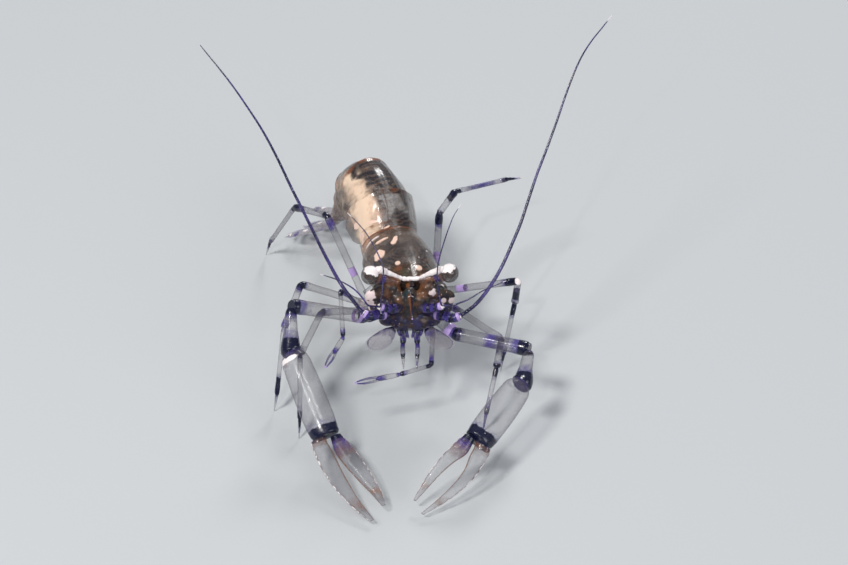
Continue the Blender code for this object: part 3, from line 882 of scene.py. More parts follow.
def extended(rings, front, rear, front_scale):
    """Rings with one more at each end, moved on along the body, the front one scaled."""
    centres, _, _, ahead = ring_frames(rings)
    first = centres[0] - ahead[0] * front + (rings[0] - centres[0]) * front_scale
    last = centres[-1] + ahead[-1] * rear + (rings[-1] - centres[-1])
    return np.concatenate([[first], rings, [last]])


class BodySurface:
    """A smooth surface over a body part, asked by distance back from its first ring and by
    the angle round from the middle of the back, in degrees to the animal's left."""

    def __init__(self, rings, angles, front_scale):
        self.full = extended(rings, RUN_ON_FRONT, RUN_ON_REAR, front_scale)
        self.centres = self.full.mean(1)
        self.marks = arc_lengths(self.centres) - RUN_ON_FRONT
        self.angles = np.asarray(angles, float)

    def length(self):
        return self.marks[-2]

    def rows(self, distances):
        return np.interp(distances, self.marks, np.arange(len(self.marks)))

    def at(self, distances, angles, swell=1.0):
        """Points for matching arrays of distance and angle."""
        distances, angles = np.broadcast_arrays(distances, angles)
        rows = self.rows(distances.ravel())
        columns = np.interp(angles.ravel(), self.angles, np.arange(len(self.angles)))
        row = np.clip(np.floor(rows).astype(int), 0, len(self.full) - 2)
        t = (rows - row)[:, None]

        def cross(index):
            index = np.clip(index, 0, len(self.full) - 1)
            column = np.clip(np.floor(columns).astype(int), 0, len(self.angles) - 2)
            u = (columns - column)[:, None]
            grid, order = self.full[index], np.arange(len(index))
            return spline(*(grid[order, np.clip(column + k, 0, len(self.angles) - 1)]
                            for k in (-1, 0, 1, 2)), u)

        points = spline(*(cross(row + k) for k in (-1, 0, 1, 2)), t)
        middle = np.stack([np.interp(distances.ravel(), self.marks, self.centres[:, k])
                           for k in range(3)], 1)
        swell = np.broadcast_to(swell, distances.shape).reshape(-1, 1)
        return (middle + (points - middle) * swell).reshape(distances.shape + (3,))


def open_surface(rings, front_scale=0.9):
    """The surface over closed sections, cut open under the belly."""
    return BodySurface(np.concatenate([rings, rings[:, :1]], axis=1),
                       np.append(SECTION_ANGLES, 180.0), front_scale)


BODY = open_surface(CARAPACE, 0.72)
SHELL_LENGTH = BODY.length()


def patch(distances, angles, at, angle, long, wide, girth_radius, lean=0.0):
    """A field that is 1 in the middle of an oval mark on the body and 0.5 at its edge."""
    down = distances - at
    across = np.radians(angles - angle) * girth_radius
    turned = math.radians(lean)
    x = down * math.cos(turned) + across * math.sin(turned)
    y = -down * math.sin(turned) + across * math.cos(turned)
    return np.clip(1.0 - 0.5 * np.hypot(x / long, y / wide), 0.0, 1.0)


# Pale marks on the carapace: the share of its length from the front, the angle round the
# body, half the length and half the width in millimetres, and the lean in degrees.
CARAPACE_MARKS = {
    "peach": ((0.60, -47, 0.42, 0.25, 10), (0.284, -21, 0.22, 0.14, 0),
              (0.162, 27, 0.22, 0.17, 20), (0.73, -9, 0.40, 0.14, 24),
              (0.84, -30, 0.13, 0.42, 0), (0.06, 62, 0.20, 0.20, 0)),
    "white": ((0.97, -52, 0.08, 0.55, 0), (0.194, 86, 0.17, 0.16, 0),
              (0.10, -88, 0.34, 0.34, 0), (0.56, 52, 0.05, 0.05, 0),
              (0.36, 30, 0.04, 0.05, 0)),
}


def make_carapace():
    rows, columns = 130, 150
    angle = np.linspace(-126.0, 126.0, columns)
    wide = np.abs(angle)
    front = np.interp(wide, (0, 9, 22, 38, 52, 61, 64, 70, 84, 104, 118, 126),
                      (-0.20, -0.16, 0.16, 0.34, 0.20, -0.04, -0.10, 0.10, 0.20, 0.26,
                       0.52, 0.95))
    rear = SHELL_LENGTH + np.interp(wide, (0, 30, 60, 90, 112, 126),
                                    (0.20, 0.22, 0.30, 0.36, 0.24, -0.30))
    share = np.linspace(0.0, 1.0, rows)[:, None]
    distance = front + (rear - front) * share
    angles = np.broadcast_to(angle, distance.shape)
    depth = distance / SHELL_LENGTH
    swell = 1.0 + 0.035 * bell(wide, 98, 22)
    swell = swell + 0.24 * bell(depth, 0.02, 0.13) * ramp(wide, 45, 40)
    swell = swell + np.where(angles < 0, 0.15, 0.02) * np.exp(
        -((depth - 0.52) / 0.34) ** 4) * ramp(wide, 35, 40)
    swell = swell + 0.055 * bell(wide, 0, 4.5) * np.interp(
        depth, (-0.05, 0.05, 0.35, 0.6), (1.0, 1.0, 0.55, 0.0))
    teeth = bell(depth, 0.055, 0.02) + 0.8 * bell(depth, 0.17, 0.02)
    swell = swell + 0.07 * teeth * bell(wide, 0, 3.0)
    groove = (np.exp(-((depth - 0.40 + 0.0022 * wide) / 0.018) ** 2)
              * ramp(wide, 22, 30) * fade(wide, 100, 20))
    branch = (np.exp(-((wide - 62 - 14 * np.sin(depth * 3.0)) / 3.2) ** 2)
              * ramp(depth, 0.3, 0.2) * fade(depth, 0.95, 0.1))
    hem = np.exp(-((1.0 - share) * 40.0) ** 2) + np.exp(-(share * 45.0) ** 2)
    swell = swell - 0.055 * ramp(depth, 0.84, 0.2)
    swell = swell - 0.014 * groove - 0.012 * branch + 0.012 * hem
    grid = BODY.at(distance, angles, swell)
    girth = 1.35
    ripples = np.hypot(distance - 0.46 * SHELL_LENGTH, np.radians(angles) * girth)
    fields = {"along": ripples, "peach": np.zeros(distance.shape),
              "white": np.zeros(distance.shape), "painted_warm_glow": np.zeros(distance.shape)}
    for key, marks in CARAPACE_MARKS.items():
        for at, where, long, across, lean in marks:
            fields[key] = most(fields[key], patch(distance, angles, at * SHELL_LENGTH, where,
                                                  long, across, girth, lean))
    # Painted light: the rear of the right flank lit warm, laid on as colour.
    fields["cream"] = 0.62 * ramp(depth, 0.82, 0.1) * bell(angles, -70, 34)
    fields["rust"] = most(
        np.clip(1.0 - (1.0 - share) * (rear - front) / 0.22, 0, 1) * 0.72,
        0.66 * spot(depth, angles, (0.15, -26), (0.09, 15)),
        0.60 * spot(depth, angles, (0.12, 30), (0.07, 14)))
    fields["smoke"] = 0.64 * np.exp(-((depth - 0.34) / 0.46) ** 4) * np.clip(
        1.25 - wide / 130, 0.3, 1) * (1 - 0.5 * spot(depth, angles, (0.10, -8), (0.14, 52)))
    piece = plate_skin("carapace_shell", grid, fields, SHELL_WALL)
    finish_piece(piece, "carapace", SHELL)


def inner_loft(name, rings, scale, rows, around, fields, finish):
    grid = fine_rings(about_centres(rings, scale), rows, around)
    skin_piece(name, grid, fields(grid), finish)


def make_thorax():
    """The clear body under the carapace, from the mouth to the first plate."""
    def fields(grid):
        rows, around = grid.shape[:2]
        down = np.linspace(0, 1, rows)[:, None] * np.ones(around)
        turn = np.arange(around) * 360.0 / around - 180.0
        return {"along": down * 4.9 + 0.5 * np.cos(np.radians(turn)),
                # The warm field is painted light: the rear of the right flank lit warm, laid on
                # as colour.
                "cream": 0.55 * ramp(down, 0.80, 0.15) * bell(turn, -60, 40),
                "dark": 0.62 * fade(down, 0.25, 0.2) * ramp(np.abs(turn), 60, 40)}
    inner_loft("thorax_flesh", CARAPACE, 0.90, 90, 96, fields, FLESH)


def lump(middle, axes, radii, seed):
    """One lumpy rounded lobe, to be fused with others."""
    rows, around = 24, 32
    turn = np.linspace(0.04, math.pi - 0.04, rows)[:, None]
    spin = np.arange(around) * math.tau / around
    ball = np.stack([np.sin(turn) * np.cos(spin), np.sin(turn) * np.sin(spin),
                     np.cos(turn) * np.ones(around)], -1)
    lumps = 1.0 + 0.10 * ripple(ball, 0.6, seed)
    return closed_skin("lobe", middle + (ball * lumps[..., None] * radii) @ axes)


# The size of the grain in which lobes are grown together, in millimetres.
LOBE_GRAIN = 0.045


def fused(name, lobes, spots=()):
    """Lobes grown together into one skin. Each lobe is its middle, its own axes, its radii
    and the field that paints it; each pale spot is its middle and its radius."""
    piece = joined(name, [lump(middle, axes, np.array(radii), 3.1 * number)
                          for number, (middle, axes, radii, _) in enumerate(lobes)])
    grow = piece.modifiers.new("grow together", "REMESH")
    grow.mode, grow.voxel_size = "VOXEL", LOBE_GRAIN * MM
    even = piece.modifiers.new("even", "SMOOTH")
    even.factor, even.iterations = 0.6, 26
    plain_copy(piece)
    mesh = piece.data
    places = np.empty(len(mesh.vertices) * 3)
    mesh.vertices.foreach_get("co", places)
    places = places.reshape(-1, 3) / MM
    fields = {key: np.zeros(len(places)) for key in ("orange", "green", "teal", "violet",
                                                     "pale")}
    for middle, axes, radii, paint in lobes:
        if paint:
            away = np.linalg.norm((places - middle) @ axes.T / np.array(radii), axis=1)
            fields[paint] = np.maximum(fields[paint], np.clip(1.42 - away, 0, 1))
    for middle, radius in spots:
        away = np.linalg.norm(places - middle, axis=1) / radius
        fields["pale"] = np.maximum(fields["pale"], np.clip(1.0 - 0.5 * away, 0, 1))
    keep_fields(mesh, fields)
    mesh.shade_smooth()
    return piece


def make_innards():
    """What shows through the carapace: stomach, gland and heart."""
    centres, left, up, ahead = ring_frames(CARAPACE)
    marks = share_down(centres)
    axes = np.array([left[6], ahead[6], up[6]])

    def place(share, angle, depth):
        centre = np.array([np.interp(share, marks, centres[:, k]) for k in range(3)])
        side = BODY.at(np.array([share * SHELL_LENGTH]), np.array([float(angle)]))[0]
        return centre + (side - centre) * depth

    organs = ((0.25, -52, 0.56, (0.50, 0.62, 0.50), "orange"),
              (0.30, 50, 0.48, (0.50, 0.70, 0.48), ""),
              (0.13, -10, 0.74, (0.36, 0.44, 0.26), "green"),
              (0.12, -46, 0.66, (0.32, 0.42, 0.34), "orange"),
              (0.10, 44, 0.66, (0.34, 0.44, 0.36), "orange"),
              (0.06, 6, 0.44, (0.36, 0.40, 0.42), "teal"),
              (0.40, -38, 0.56, (0.30, 0.44, 0.28), "orange"),
              (0.36, 8, 0.40, (0.40, 0.50, 0.34), ""),
              (0.24, 0, 0.10, (0.60, 0.80, 0.55), ""),
              (0.20, -130, 0.45, (0.44, 0.60, 0.40), "violet"),
              (0.20, 130, 0.45, (0.44, 0.60, 0.40), "violet"))
    piece = fused("innards", [(place(share, angle, depth), axes, radii, paint)
                              for share, angle, depth, radii, paint in organs])
    finish_piece(piece, material=INNARDS)


# The lobes of the face, from the middle of the eyes: across, ahead and up, the radii, the
# paint. Those off the middle line are made on both sides.
FACE_LOBES = (
    (0.00, -0.45, -1.06, (0.36, 0.40, 0.62), "teal"),
    (0.92, -0.12, -0.82, (0.48, 0.45, 0.50), "orange"),
    (0.52, -0.42, -1.24, (0.42, 0.50, 0.46), "orange"),
    (0.00, -0.30, -1.95, (0.62, 0.42, 0.60), ""),
    (0.88, -0.25, -1.75, (0.56, 0.46, 0.52), "violet"),
    (1.36, -0.02, -1.22, (0.46, 0.30, 0.56), ""),
    (1.80, -0.02, -1.46, (0.40, 0.20, 0.52), ""),
    (1.56, 0.36, -1.52, (0.32, 0.66, 0.46), ""),
    (1.34, 0.80, -1.50, (0.26, 0.70, 0.52), ""),
    (1.56, -0.06, -2.05, (0.50, 0.26, 0.42), "violet"),
    (0.42, -0.50, -2.55, (0.56, 0.42, 0.48), "violet"),
    (1.05, -0.30, -2.50, (0.50, 0.40, 0.42), "violet"),
)
FACE_SPOTS = (((-2.02, -0.15, -1.26), 0.34), ((-2.00, -0.15, -1.66), 0.28),
              ((1.12, -0.50, -0.72), 0.17), ((1.62, -0.22, -1.42), 0.13),
              ((2.06, -0.15, -1.52), 0.21), ((-0.10, -0.92, -1.30), 0.07))


def make_face():
    """The flesh of the face under the eyes, grown together from the bases of the feelers."""
    lobes = []
    for across, ahead, up, radii, paint in FACE_LOBES:
        for side in (LEFT, RIGHT) if across else (LEFT,):
            middle = EYE_LINE + np.array((side * across, ahead, up))
            lobes.append((middle, np.eye(3), radii, paint))
    spots = [(EYE_LINE + np.array(place), radius) for place, radius in FACE_SPOTS]
    finish_piece(fused("face", lobes, spots), material=INNARDS)


# ------------------------------------------------------------------ the abdomen

SOMITES = [f"somite_{number}" for number in range(1, 7)]


def read_somites():
    """Each somite's cross-sections, from its front edge back."""
    near, found = CARAPACE[-1].mean(0), {}
    for name in SOMITES:
        found[name] = body_sections(name, near, 5)
        near = found[name][-1].mean(0)
    return found


SOMITE_RINGS = read_somites()

# For each plate: how far it reaches forward and back past its own edges at the back's middle
# and at its side lobes, how far it stands out at its front and rear edges, and how far its
# side lobes hang. Then how strong its rust, its painted warm light, its painted warm glow
# (both light laid on the right flank as colour) and its smoke are.
PLATES = {
    "somite_1": (0.05, 0.16, 0.02, 0.05, 0.955, 1.015, 0.10, 0.50, 0.50, 0.62, 0.58),
    "somite_2": (0.04, 0.24, 0.36, 0.34, 0.985, 1.030, 0.34, 0.62, 0.62, 0.98, 0.74),
    "somite_3": (0.04, 0.26, 0.04, 0.34, 0.965, 1.025, 0.42, 0.90, 0.46, 0.84, 0.80),
    "somite_4": (0.04, 0.20, 0.06, 0.34, 0.960, 1.025, 0.50, 0.80, 0.46, 0.34, 0.64),
    "somite_5": (0.04, 0.18, 0.06, 0.30, 0.955, 1.030, 0.34, 0.80, 0.42, 0.0, 0.50),
    "somite_6": (0.04, 0.06, 0.04, 0.00, 0.950, 1.000, 0.00, 0.70, 0.36, 0.0, 0.40),
}

# Pale torn patches on the first plates: the distance from the plate's front edge, the angle
# round the body, half the length and half the width, and the lean.
PLATE_MARKS = {
    "somite_1": ((0.45, -18, 0.22, 0.15, 30), (0.30, -62, 0.16, 0.42, 12),
                 (0.62, -98, 0.22, 0.30, -20)),
    "somite_2": ((0.22, -48, 0.07, 0.46, 8), (0.50, -96, 0.16, 0.24, 25)),
}


def make_plates():
    for number, name in enumerate(SOMITES, start=1):
        (front_mid, rear_mid, front_lobe, rear_lobe, tuck, flare, hang, rusty, warm_light_strength,
         warm_glow_strength, smoky) = PLATES[name]
        surface = open_surface(SOMITE_RINGS[name])
        rows, columns = 64, 120
        angle = np.linspace(-127.0, 127.0, columns)
        lobe = ramp(np.abs(angle), 66, 34) ** 1.5
        rounding = ramp(np.abs(angle), 104, 23) ** 2
        length = surface.length()
        front = -(front_mid + (front_lobe - front_mid) * lobe) + 0.40 * length * rounding
        rear = length + rear_mid + (rear_lobe - rear_mid) * lobe - 0.34 * length * rounding
        share = np.linspace(0, 1, rows)[:, None]
        distance = front + (rear - front) * share
        angles = np.broadcast_to(angle, distance.shape)
        swell = tuck + (flare - tuck) * share ** 1.3
        swell = (swell + 0.030 * lobe * (number == 2)
                 + hang * ramp(np.abs(angle), 84, 43) ** 1.6)
        hem = np.exp(-((1 - share) * 26) ** 2) - 0.7 * np.exp(-(((1 - share) - 0.10) * 26) ** 2)
        crease = bell(share, 0.30, 0.05) * (np.abs(angle) < 95)
        swell = swell + 0.010 * hem - 0.006 * crease
        grid = surface.at(distance, angles, swell)
        inward = np.clip((rear - distance) / 0.26, 0, 1)
        rust = rusty * (1.0 - inward) * np.clip(1.25 - np.abs(angle) / 120, 0.3, 1)
        if number < 3:
            rust = rust * np.clip(0.52 + np.abs(angle) / 120, 0, 1)
        smoke = smoky * bell(angles, 48, 52)
        if number in (3, 4):
            smoke = most(smoke, 0.62 * bell(angles, -22, 46))
        peach = np.zeros(distance.shape)
        for at, where, long, across, lean in PLATE_MARKS.get(name, ()):
            peach = most(peach, patch(distance, angles, at, where, long, across, 1.3, lean))
        # The two warm fields are painted light, not pigment: the warm glow on the right flank,
        # dim and bright.
        fields = {"along": distance + 0.4 * np.cos(np.radians(angles)), "rust": rust,
                  "cream": warm_light_strength * bell(angles, -62, 46),
                  "painted_warm_glow": warm_glow_strength * bell(angles, -72, 35), "smoke": smoke, "peach": peach,
                  "white": np.zeros(distance.shape)}
        piece = plate_skin(f"abdomen_plate_{number}", grid, fields, SHELL_WALL)
        finish_piece(piece, name, SHELL)


def abdomen_rings():
    rings = [CARAPACE[-1]]
    for name in SOMITES:
        rings += list(SOMITE_RINGS[name][1::2])
    return np.array(rings + [SOMITE_RINGS["somite_6"][-1]])


def make_abdomen_flesh():
    rings = abdomen_rings()

    def fields(grid):
        down = lengths_down(grid)
        turn = np.arange(grid.shape[1]) * 360.0 / grid.shape[1] - 180.0
        share = down / down.max()
        return {"along": down + 0.9 * np.cos(np.radians(turn)),
                # The warm field is painted light on the right flank, strongest at the front,
                # laid on as colour.
                "cream": 0.74 * bell(turn, -80, 42) * np.clip(1.30 - share * 1.1, 0, 1),
                "dark": 0.66 * bell(turn, 40, 42) * np.clip(1.1 - share * 1.2, 0, 1)}
    inner_loft("abdomen_flesh", rings, 0.90, 170, 80, fields, FLESH)
    centres, _, up, _ = ring_frames(rings)
    line = even_path(centres + up * 0.62 * np.linspace(1.0, 0.5, len(rings))[:, None], 0.06)
    girth = 0.040 + 0.010 * np.sin(arc_lengths(line) * 5.0)
    swept_piece("gut", line, girth, {}, GUT, 12)


# ------------------------------------------------------------------ the rostrum

def both_faces(half):
    """Each column round a flat blade, over one face and back by the other: its number, its
    face and its place across, from -1 to 1."""
    spread = np.sin(np.linspace(-math.pi / 2, math.pi / 2, half + 1))
    for column in range(2 * half):
        front = column <= half
        yield column, 1.0 if front else -1.0, spread[column if front else 2 * half - column]


def make_rostrum():
    """The toothed beak: an upright blade on a broad keel, with teeth above and below."""
    centres = loft_rings("rostrum", CARAPACE[4].mean(0)).mean(1)
    root, tip = centres[0], centres[-1]
    ahead = unit(tip - root)
    left = unit(np.cross(ahead, UP))
    up = np.cross(left, ahead)
    length = np.linalg.norm(tip - root) + 0.35
    rows, half = 260, 16
    share = np.linspace(0, 1, rows)
    curve = 0.10 * share ** 2 - 0.04 * np.sin(math.pi * share)
    cycle = share * 8.2
    saw = (cycle - np.floor(cycle)) ** 1.4
    tall = 0.24 * (1 - share) ** 0.6 + 0.012
    above = tall * (0.70 + 0.60 * saw * (share < 0.93))
    low_cycle = np.clip((share - 0.50) * 6.0, 0, 2.0)
    below = tall * (0.75 + 0.45 * (low_cycle - np.floor(low_cycle)) * (low_cycle < 2))
    keel = 0.20 * (1 - share) ** 1.3 + 0.012
    grid = np.zeros((rows, 2 * half, 3))
    height = np.zeros((rows, 2 * half))
    for column, side, rise in both_faces(half):
        reach = above if rise > 0 else below
        thick = (0.026 * math.sqrt(max(1 - rise ** 2, 0.0))
                 + keel * math.exp(-((rise + 0.25) / 0.26) ** 2))
        grid[:, column] = (root - ahead * 0.25 + ahead * (length * share)[:, None]
                           + up * (curve + reach * rise)[:, None]
                           + left * (side * thick)[:, None])
        height[:, column] = side * (1 - abs(rise))
    down = np.broadcast_to((share * length)[:, None], grid.shape[:2])
    fields = bare(grid.shape[:2])
    fields["along"] = down
    fields["around"] = np.broadcast_to(np.linspace(0, 1, 2 * half), grid.shape[:2])
    fields["navy"] = np.clip(0.62 - 0.30 * height, 0, 1) * ramp(down, 0.3, 0.3)
    fields["orange"] = np.clip(0.60 + 0.45 * height, 0, 1)
    fields["white"] = most(bump_at(down, 0.95, 0.05), bump_at(down, 1.35, 0.03)) * 0.75
    fields["lilac"] = np.clip((down / length - 0.95) / 0.05, 0, 0.8)
    skin_piece("rostrum_blade", grid, fields, LIMB, "rostrum")


# ------------------------------------------------------------------ the eyes

def eye_radius(name):
    low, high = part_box(f"eye_{name}")
    return (np.array(high) - np.array(low)).mean() / 2 / MM


def make_eyes():
    for name, side in SIDES.items():
        middle = box_middle(f"eye_{name}")
        radius = eye_radius(name)
        stalk = loft_rings(f"eyestalk_{name}", CARAPACE[0].mean(0)).mean(1)
        away = unit(middle - stalk[0])
        across = unit(np.cross(away, UP))
        above = np.cross(across, away)
        if above[2] < 0:
            above = -above
        rows, around = 60, 72
        turn = np.linspace(0.03, math.pi - 0.03, rows)[:, None]
        spin = np.arange(around) * math.tau / around
        ball = (-np.cos(turn)[..., None] * away
                + (np.sin(turn) * np.cos(spin))[..., None] * above
                + (np.sin(turn) * np.sin(spin))[..., None] * across)
        swollen = radius * (1.0 + 0.035 * (ball @ away))
        grid = middle + ball * swollen[..., None] * 0.985
        crown = ball @ unit(np.array((-side * 0.30, 0.16, 1.0)))
        flare = ripple(ball, 0.42, 2.0 + side) * 0.14 + ripple(ball, 0.16, 5.0) * 0.07
        fields = {"white": np.clip(0.5 + (crown + flare - 0.52) * 1.6, 0, 1)}
        skin_piece(f"cornea_{name}", grid, fields, CORNEA, f"eye_{name}")
        skin_piece(f"eye_core_{name}", middle + ball * radius * 0.60 + away * radius * 0.10,
                   {}, CORE)
        line = even_path([stalk[0] - away * 0.14, stalk[0],
                          (stalk[0] + middle) / 2 - above * 0.02,
                          middle - away * radius * 0.55], 0.03)
        share = share_down(line)
        girth = np.interp(share, (0, 0.08, 0.25, 0.55, 0.72, 0.9, 1.0),
                          (0.10, 0.19, 0.205, 0.20, 0.235, 0.33, 0.30))
        fields = {"orange": 0.60 * np.ones(len(line)), "violet": bump_at(share, 0.72, 0.10)}
        swept_piece(f"eyestalk_{name}", line, girth, fields, LIMB, 32,
                    f"eyestalk_{name}")
    make_brow_band()


# The white band from eye to eye: across, ahead and up from the middle of the eyes.
BAND = ((1.62, 0.00, 0.44), (1.36, -0.01, 0.24), (1.02, 0.02, 0.06), (0.70, 0.08, -0.16),
        (0.50, 0.14, -0.34), (0.24, 0.18, -0.43), (0.0, 0.20, -0.45))


def make_brow_band():
    """The white ridge that joins the eyes over the root of the rostrum."""
    half = [np.array(spot) for spot in BAND]
    points = [spot * (-1, 1, 1) for spot in half] + half[-2::-1]
    line = even_path(EYE_LINE + np.array(points), 0.025)
    line = line + 0.022 * np.stack([ripple(line, 0.3, 6.0 * k) for k in range(3)], 1)
    share = share_down(line)
    girth = np.interp(share, (0, 0.05, 0.12, 0.25, 0.5, 0.75, 0.88, 0.95, 1),
                      (0.05, 0.18, 0.17, 0.100, 0.115, 0.100, 0.17, 0.18, 0.05))
    girth = girth * (1 + 0.20 * ripple(line, 0.12) + 0.16 * ripple(line, 0.045, 3.0))
    swept_piece("brow_band", line, girth, {"white": np.ones(len(line))}, LIMB, 20)


# ------------------------------------------------------------------ feelers

def make_antennae():
    for name, side in SIDES.items():
        head = CARAPACE[1].mean(0)
        stem = loft_rings(f"antenna_{name}", head).mean(1)
        whip = loft_rings(f"feeler_{name}", head).mean(1)
        line = even_path(np.concatenate([stem[:1], stem[3:5], stem[-3:-1], whip[:1]]), 0.03)
        share = share_down(line)
        girth = np.interp(share, (0, 0.05, 0.20, 0.34, 0.38, 0.55, 0.66, 0.70, 0.86, 0.97, 1),
                          (0.20, 0.29, 0.33, 0.30, 0.24, 0.27, 0.26, 0.20, 0.22, 0.17, 0.10))
        fields = {"violet": most(bump_at(share, 0.36, 0.16), bump_at(share, 0.68, 0.14),
                                 0.55 * np.ones(len(line))),
                  "navy": most(bump_at(share, 0.37, 0.05), bump_at(share, 0.69, 0.05)),
                  "lilac": most(0.8 * bump_at(share, 0.88, 0.05),
                                0.9 * bump_at(share, 0.2, 0.05)),
                  "white": 0.55 * bump_at(share, 0.95, 0.03)}
        swept_piece(f"antenna_stem_{name}", line, girth, fields, MOUTH, 28,
                    f"antenna_{name}")
        whip_line = even_path(np.concatenate([line[-4:-3], whip]), 0.045)
        whip_line = whip_line + 0.012 * np.stack(
            [ripple(whip_line, 1.3, 4.0 * k + side) for k in range(3)], 1)
        share = share_down(whip_line)
        girth = 0.072 * (1 - share) ** 0.75 + 0.022
        girth = girth * (1 + 0.05 * np.sin(arc_lengths(whip_line) * math.tau * 5.5))
        girth[-1] = 0.012
        fields = {"violet": 0.36 + 0.4 * ripple(whip_line, 1.7, 9.0 + side),
                  "white": ramp(share, 0.95, 0.05) * (side == LEFT)}
        swept_piece(f"feeler_{name}_whip", whip_line, girth, fields, FEELER, 14,
                    f"feeler_{name}")


def make_antennules():
    for name, side in SIDES.items():
        head = CARAPACE[0].mean(0)
        stem = loft_rings(f"antennule_{name}", head).mean(1)
        tip = stem[-1] + unit(stem[-1] - stem[-3]) * 0.36
        line = even_path([stem[0], stem[2], stem[4], stem[-2], tip], 0.025)
        share = share_down(line)
        girth = np.interp(share, (0, 0.06, 0.25, 0.44, 0.48, 0.62, 0.68, 0.72, 0.88, 1),
                          (0.14, 0.22, 0.255, 0.235, 0.185, 0.22, 0.215, 0.17, 0.20, 0.10))
        fields = {"violet": most(bump_at(share, 0.46, 0.12), bump_at(share, 0.70, 0.12)),
                  "navy": most(bump_at(share, 0.46, 0.04), bump_at(share, 0.70, 0.04)),
                  "lilac": 0.8 * bump_at(share, 0.86, 0.06),
                  "white": 0.7 * bump_at(share, 0.96, 0.05)}
        swept_piece(f"antennule_stem_{name}", line, girth, fields, MOUTH, 26,
                    f"antennule_{name}")
        for kind, thick in (("upper", 0.030), ("lower", 0.036)):
            whip = loft_rings(f"whisker_{name}_{kind}", tip).mean(1)
            whip_line = even_path(np.concatenate([[tip - (whip[0] - tip) * 0.1], whip]), 0.04)
            share = share_down(whip_line)
            girth = thick * (1 - share) ** 0.7 + 0.014
            girth = girth * (1 + 0.06 * np.sin(arc_lengths(whip_line) * math.tau * 7))
            fields = {"violet": 0.42 + 0.4 * ripple(whip_line, 0.9, 3.0 * side),
                      "white": bump_at(share, 1.0, 0.05)}
            node = f"whisker_{name}_{kind}"
            swept_piece(f"{node}_whip", whip_line, girth, fields, FEELER, 10, node)


# ------------------------------------------------------------------ blades: fan, scales, paddles

def blade_axes(rings):
    """A flat blade's root, direction, widest way, thin way, length and half-width."""
    centres = rings.mean(1)
    widest = max(range(len(rings)), key=lambda k: np.linalg.norm(
        rings[k] - centres[k], axis=1).max())
    spokes = rings[widest] - centres[widest]
    long = np.linalg.norm(spokes, axis=1).argmax()
    ahead = unit(centres[-1] - centres[0])
    side = spokes[long] - ahead * (spokes[long] @ ahead)
    half = np.linalg.norm(side)
    side = unit(side)
    if side[0] < 0:
        side = -side
    thin = np.cross(side, ahead)
    if thin[2] < 0:
        thin = -thin
    return centres[0], ahead, side, thin, np.linalg.norm(centres[-1] - centres[0]), half


def make_blade(name, node, near, outline, finish, cup=0.08, thick=0.045, trim=0.30,
               ribs=(0.0,), fields=None, fringe=None, seed=1, widen=1.0, reach_back=0.0):
    """A thin blade over a flat solid: its outline by share of its length, its ribs by share
    of its width, and its fringe as (first share, last share, length, spacing)."""
    root, ahead, side, thin, length, half = blade_axes(loft_rings(node, near))
    length = length - trim + reach_back
    root = root - ahead * reach_back
    half = half * widen
    rows, half_columns = 70, 18
    share = np.linspace(0, 1, rows)
    left_edge = np.interp(share, *outline[0])
    right_edge = np.interp(share, *outline[1])
    grid = np.zeros((rows, 2 * half_columns, 3))
    flat = np.zeros((rows, 2 * half_columns))
    for column, face, across in both_faces(half_columns):
        reach = np.where(across > 0, left_edge, right_edge) * half * across
        bulge = sum(bell(across, rib, 0.10) for rib in ribs)
        wall = thick * np.sqrt(max(1 - across ** 2, 0.0)) * (1.15 - 0.6 * share)
        wall = wall * 0.55 + 0.018 * bulge * (1 - 0.7 * share)
        sag = -cup * half * across ** 2 - 0.05 * share ** 2
        grid[:, column] = (root + ahead * (length * share)[:, None]
                           + side * reach[:, None]
                           + thin * (sag + face * wall)[:, None])
        flat[:, column] = across
    down = np.broadcast_to((share * length)[:, None], grid.shape[:2])
    paint = bare(grid.shape[:2])
    paint["along"], paint["around"] = down, flat * 0.5
    if fields:
        paint.update(fields(np.broadcast_to(share[:, None], flat.shape), flat))
    skin_piece(name, grid, paint, finish, node)
    if fringe:
        middle = (root + ahead * (length * share)[:, None]
                  - thin * (cup * half + 0.05 * share ** 2)[:, None])
        edges = [(face, (middle + side * (face * edge * half)[:, None])[share >= fringe[0]])
                 for face, edge in ((1, left_edge), (-1, right_edge))]
        make_fringe(name, edges, side, ahead, fringe, seed)


def make_fringe(name, edges, side, ahead, fringe, seed):
    """The hairs along a blade's two edges, which turn to point along it near its tip."""
    _, last, reach, spacing = fringe
    roots, lies = [], []
    for face, edge in edges:
        line = even_path(edge, spacing, smooth=False)
        tall = share_down(line)
        outward = unit(side * face * 0.75 + ahead)
        turned = unit(outward * (1 - 0.55 * tall)[:, None]
                      + ahead * (0.2 + 0.8 * tall)[:, None])
        roots.append(line)
        lies.append(turned * (reach * np.interp(tall, (0, 0.25, last, 1),
                                                (0.4, 0.9, 1, 0.95)))[:, None])
    bristles(f"{name}_fringe", np.concatenate(roots), np.concatenate(lies), 0.008, seed)


# A blade's edges: shares of its length, and how much of its half-width is reached there.
ROUND_BLADE = ((0, 0.10, 0.30, 0.55, 0.78, 0.90, 0.97, 1.0),
               (0.30, 0.52, 0.82, 1.0, 0.94, 0.70, 0.40, 0.05))
STRAIGHT_EDGE = ((0, 0.10, 0.30, 0.60, 0.80, 0.90, 0.97, 1.0),
                 (0.30, 0.62, 0.86, 0.98, 0.93, 0.72, 0.42, 0.05))
TELSON_EDGE = ((0, 0.08, 0.25, 0.5, 0.8, 0.93, 1.0), (0.55, 0.95, 0.92, 0.78, 0.52, 0.40, 0.08))


def outer_edges(side):
    """A paired blade's two edges, with the straight one on the outer side."""
    return (STRAIGHT_EDGE, ROUND_BLADE) if side == LEFT else (ROUND_BLADE, STRAIGHT_EDGE)


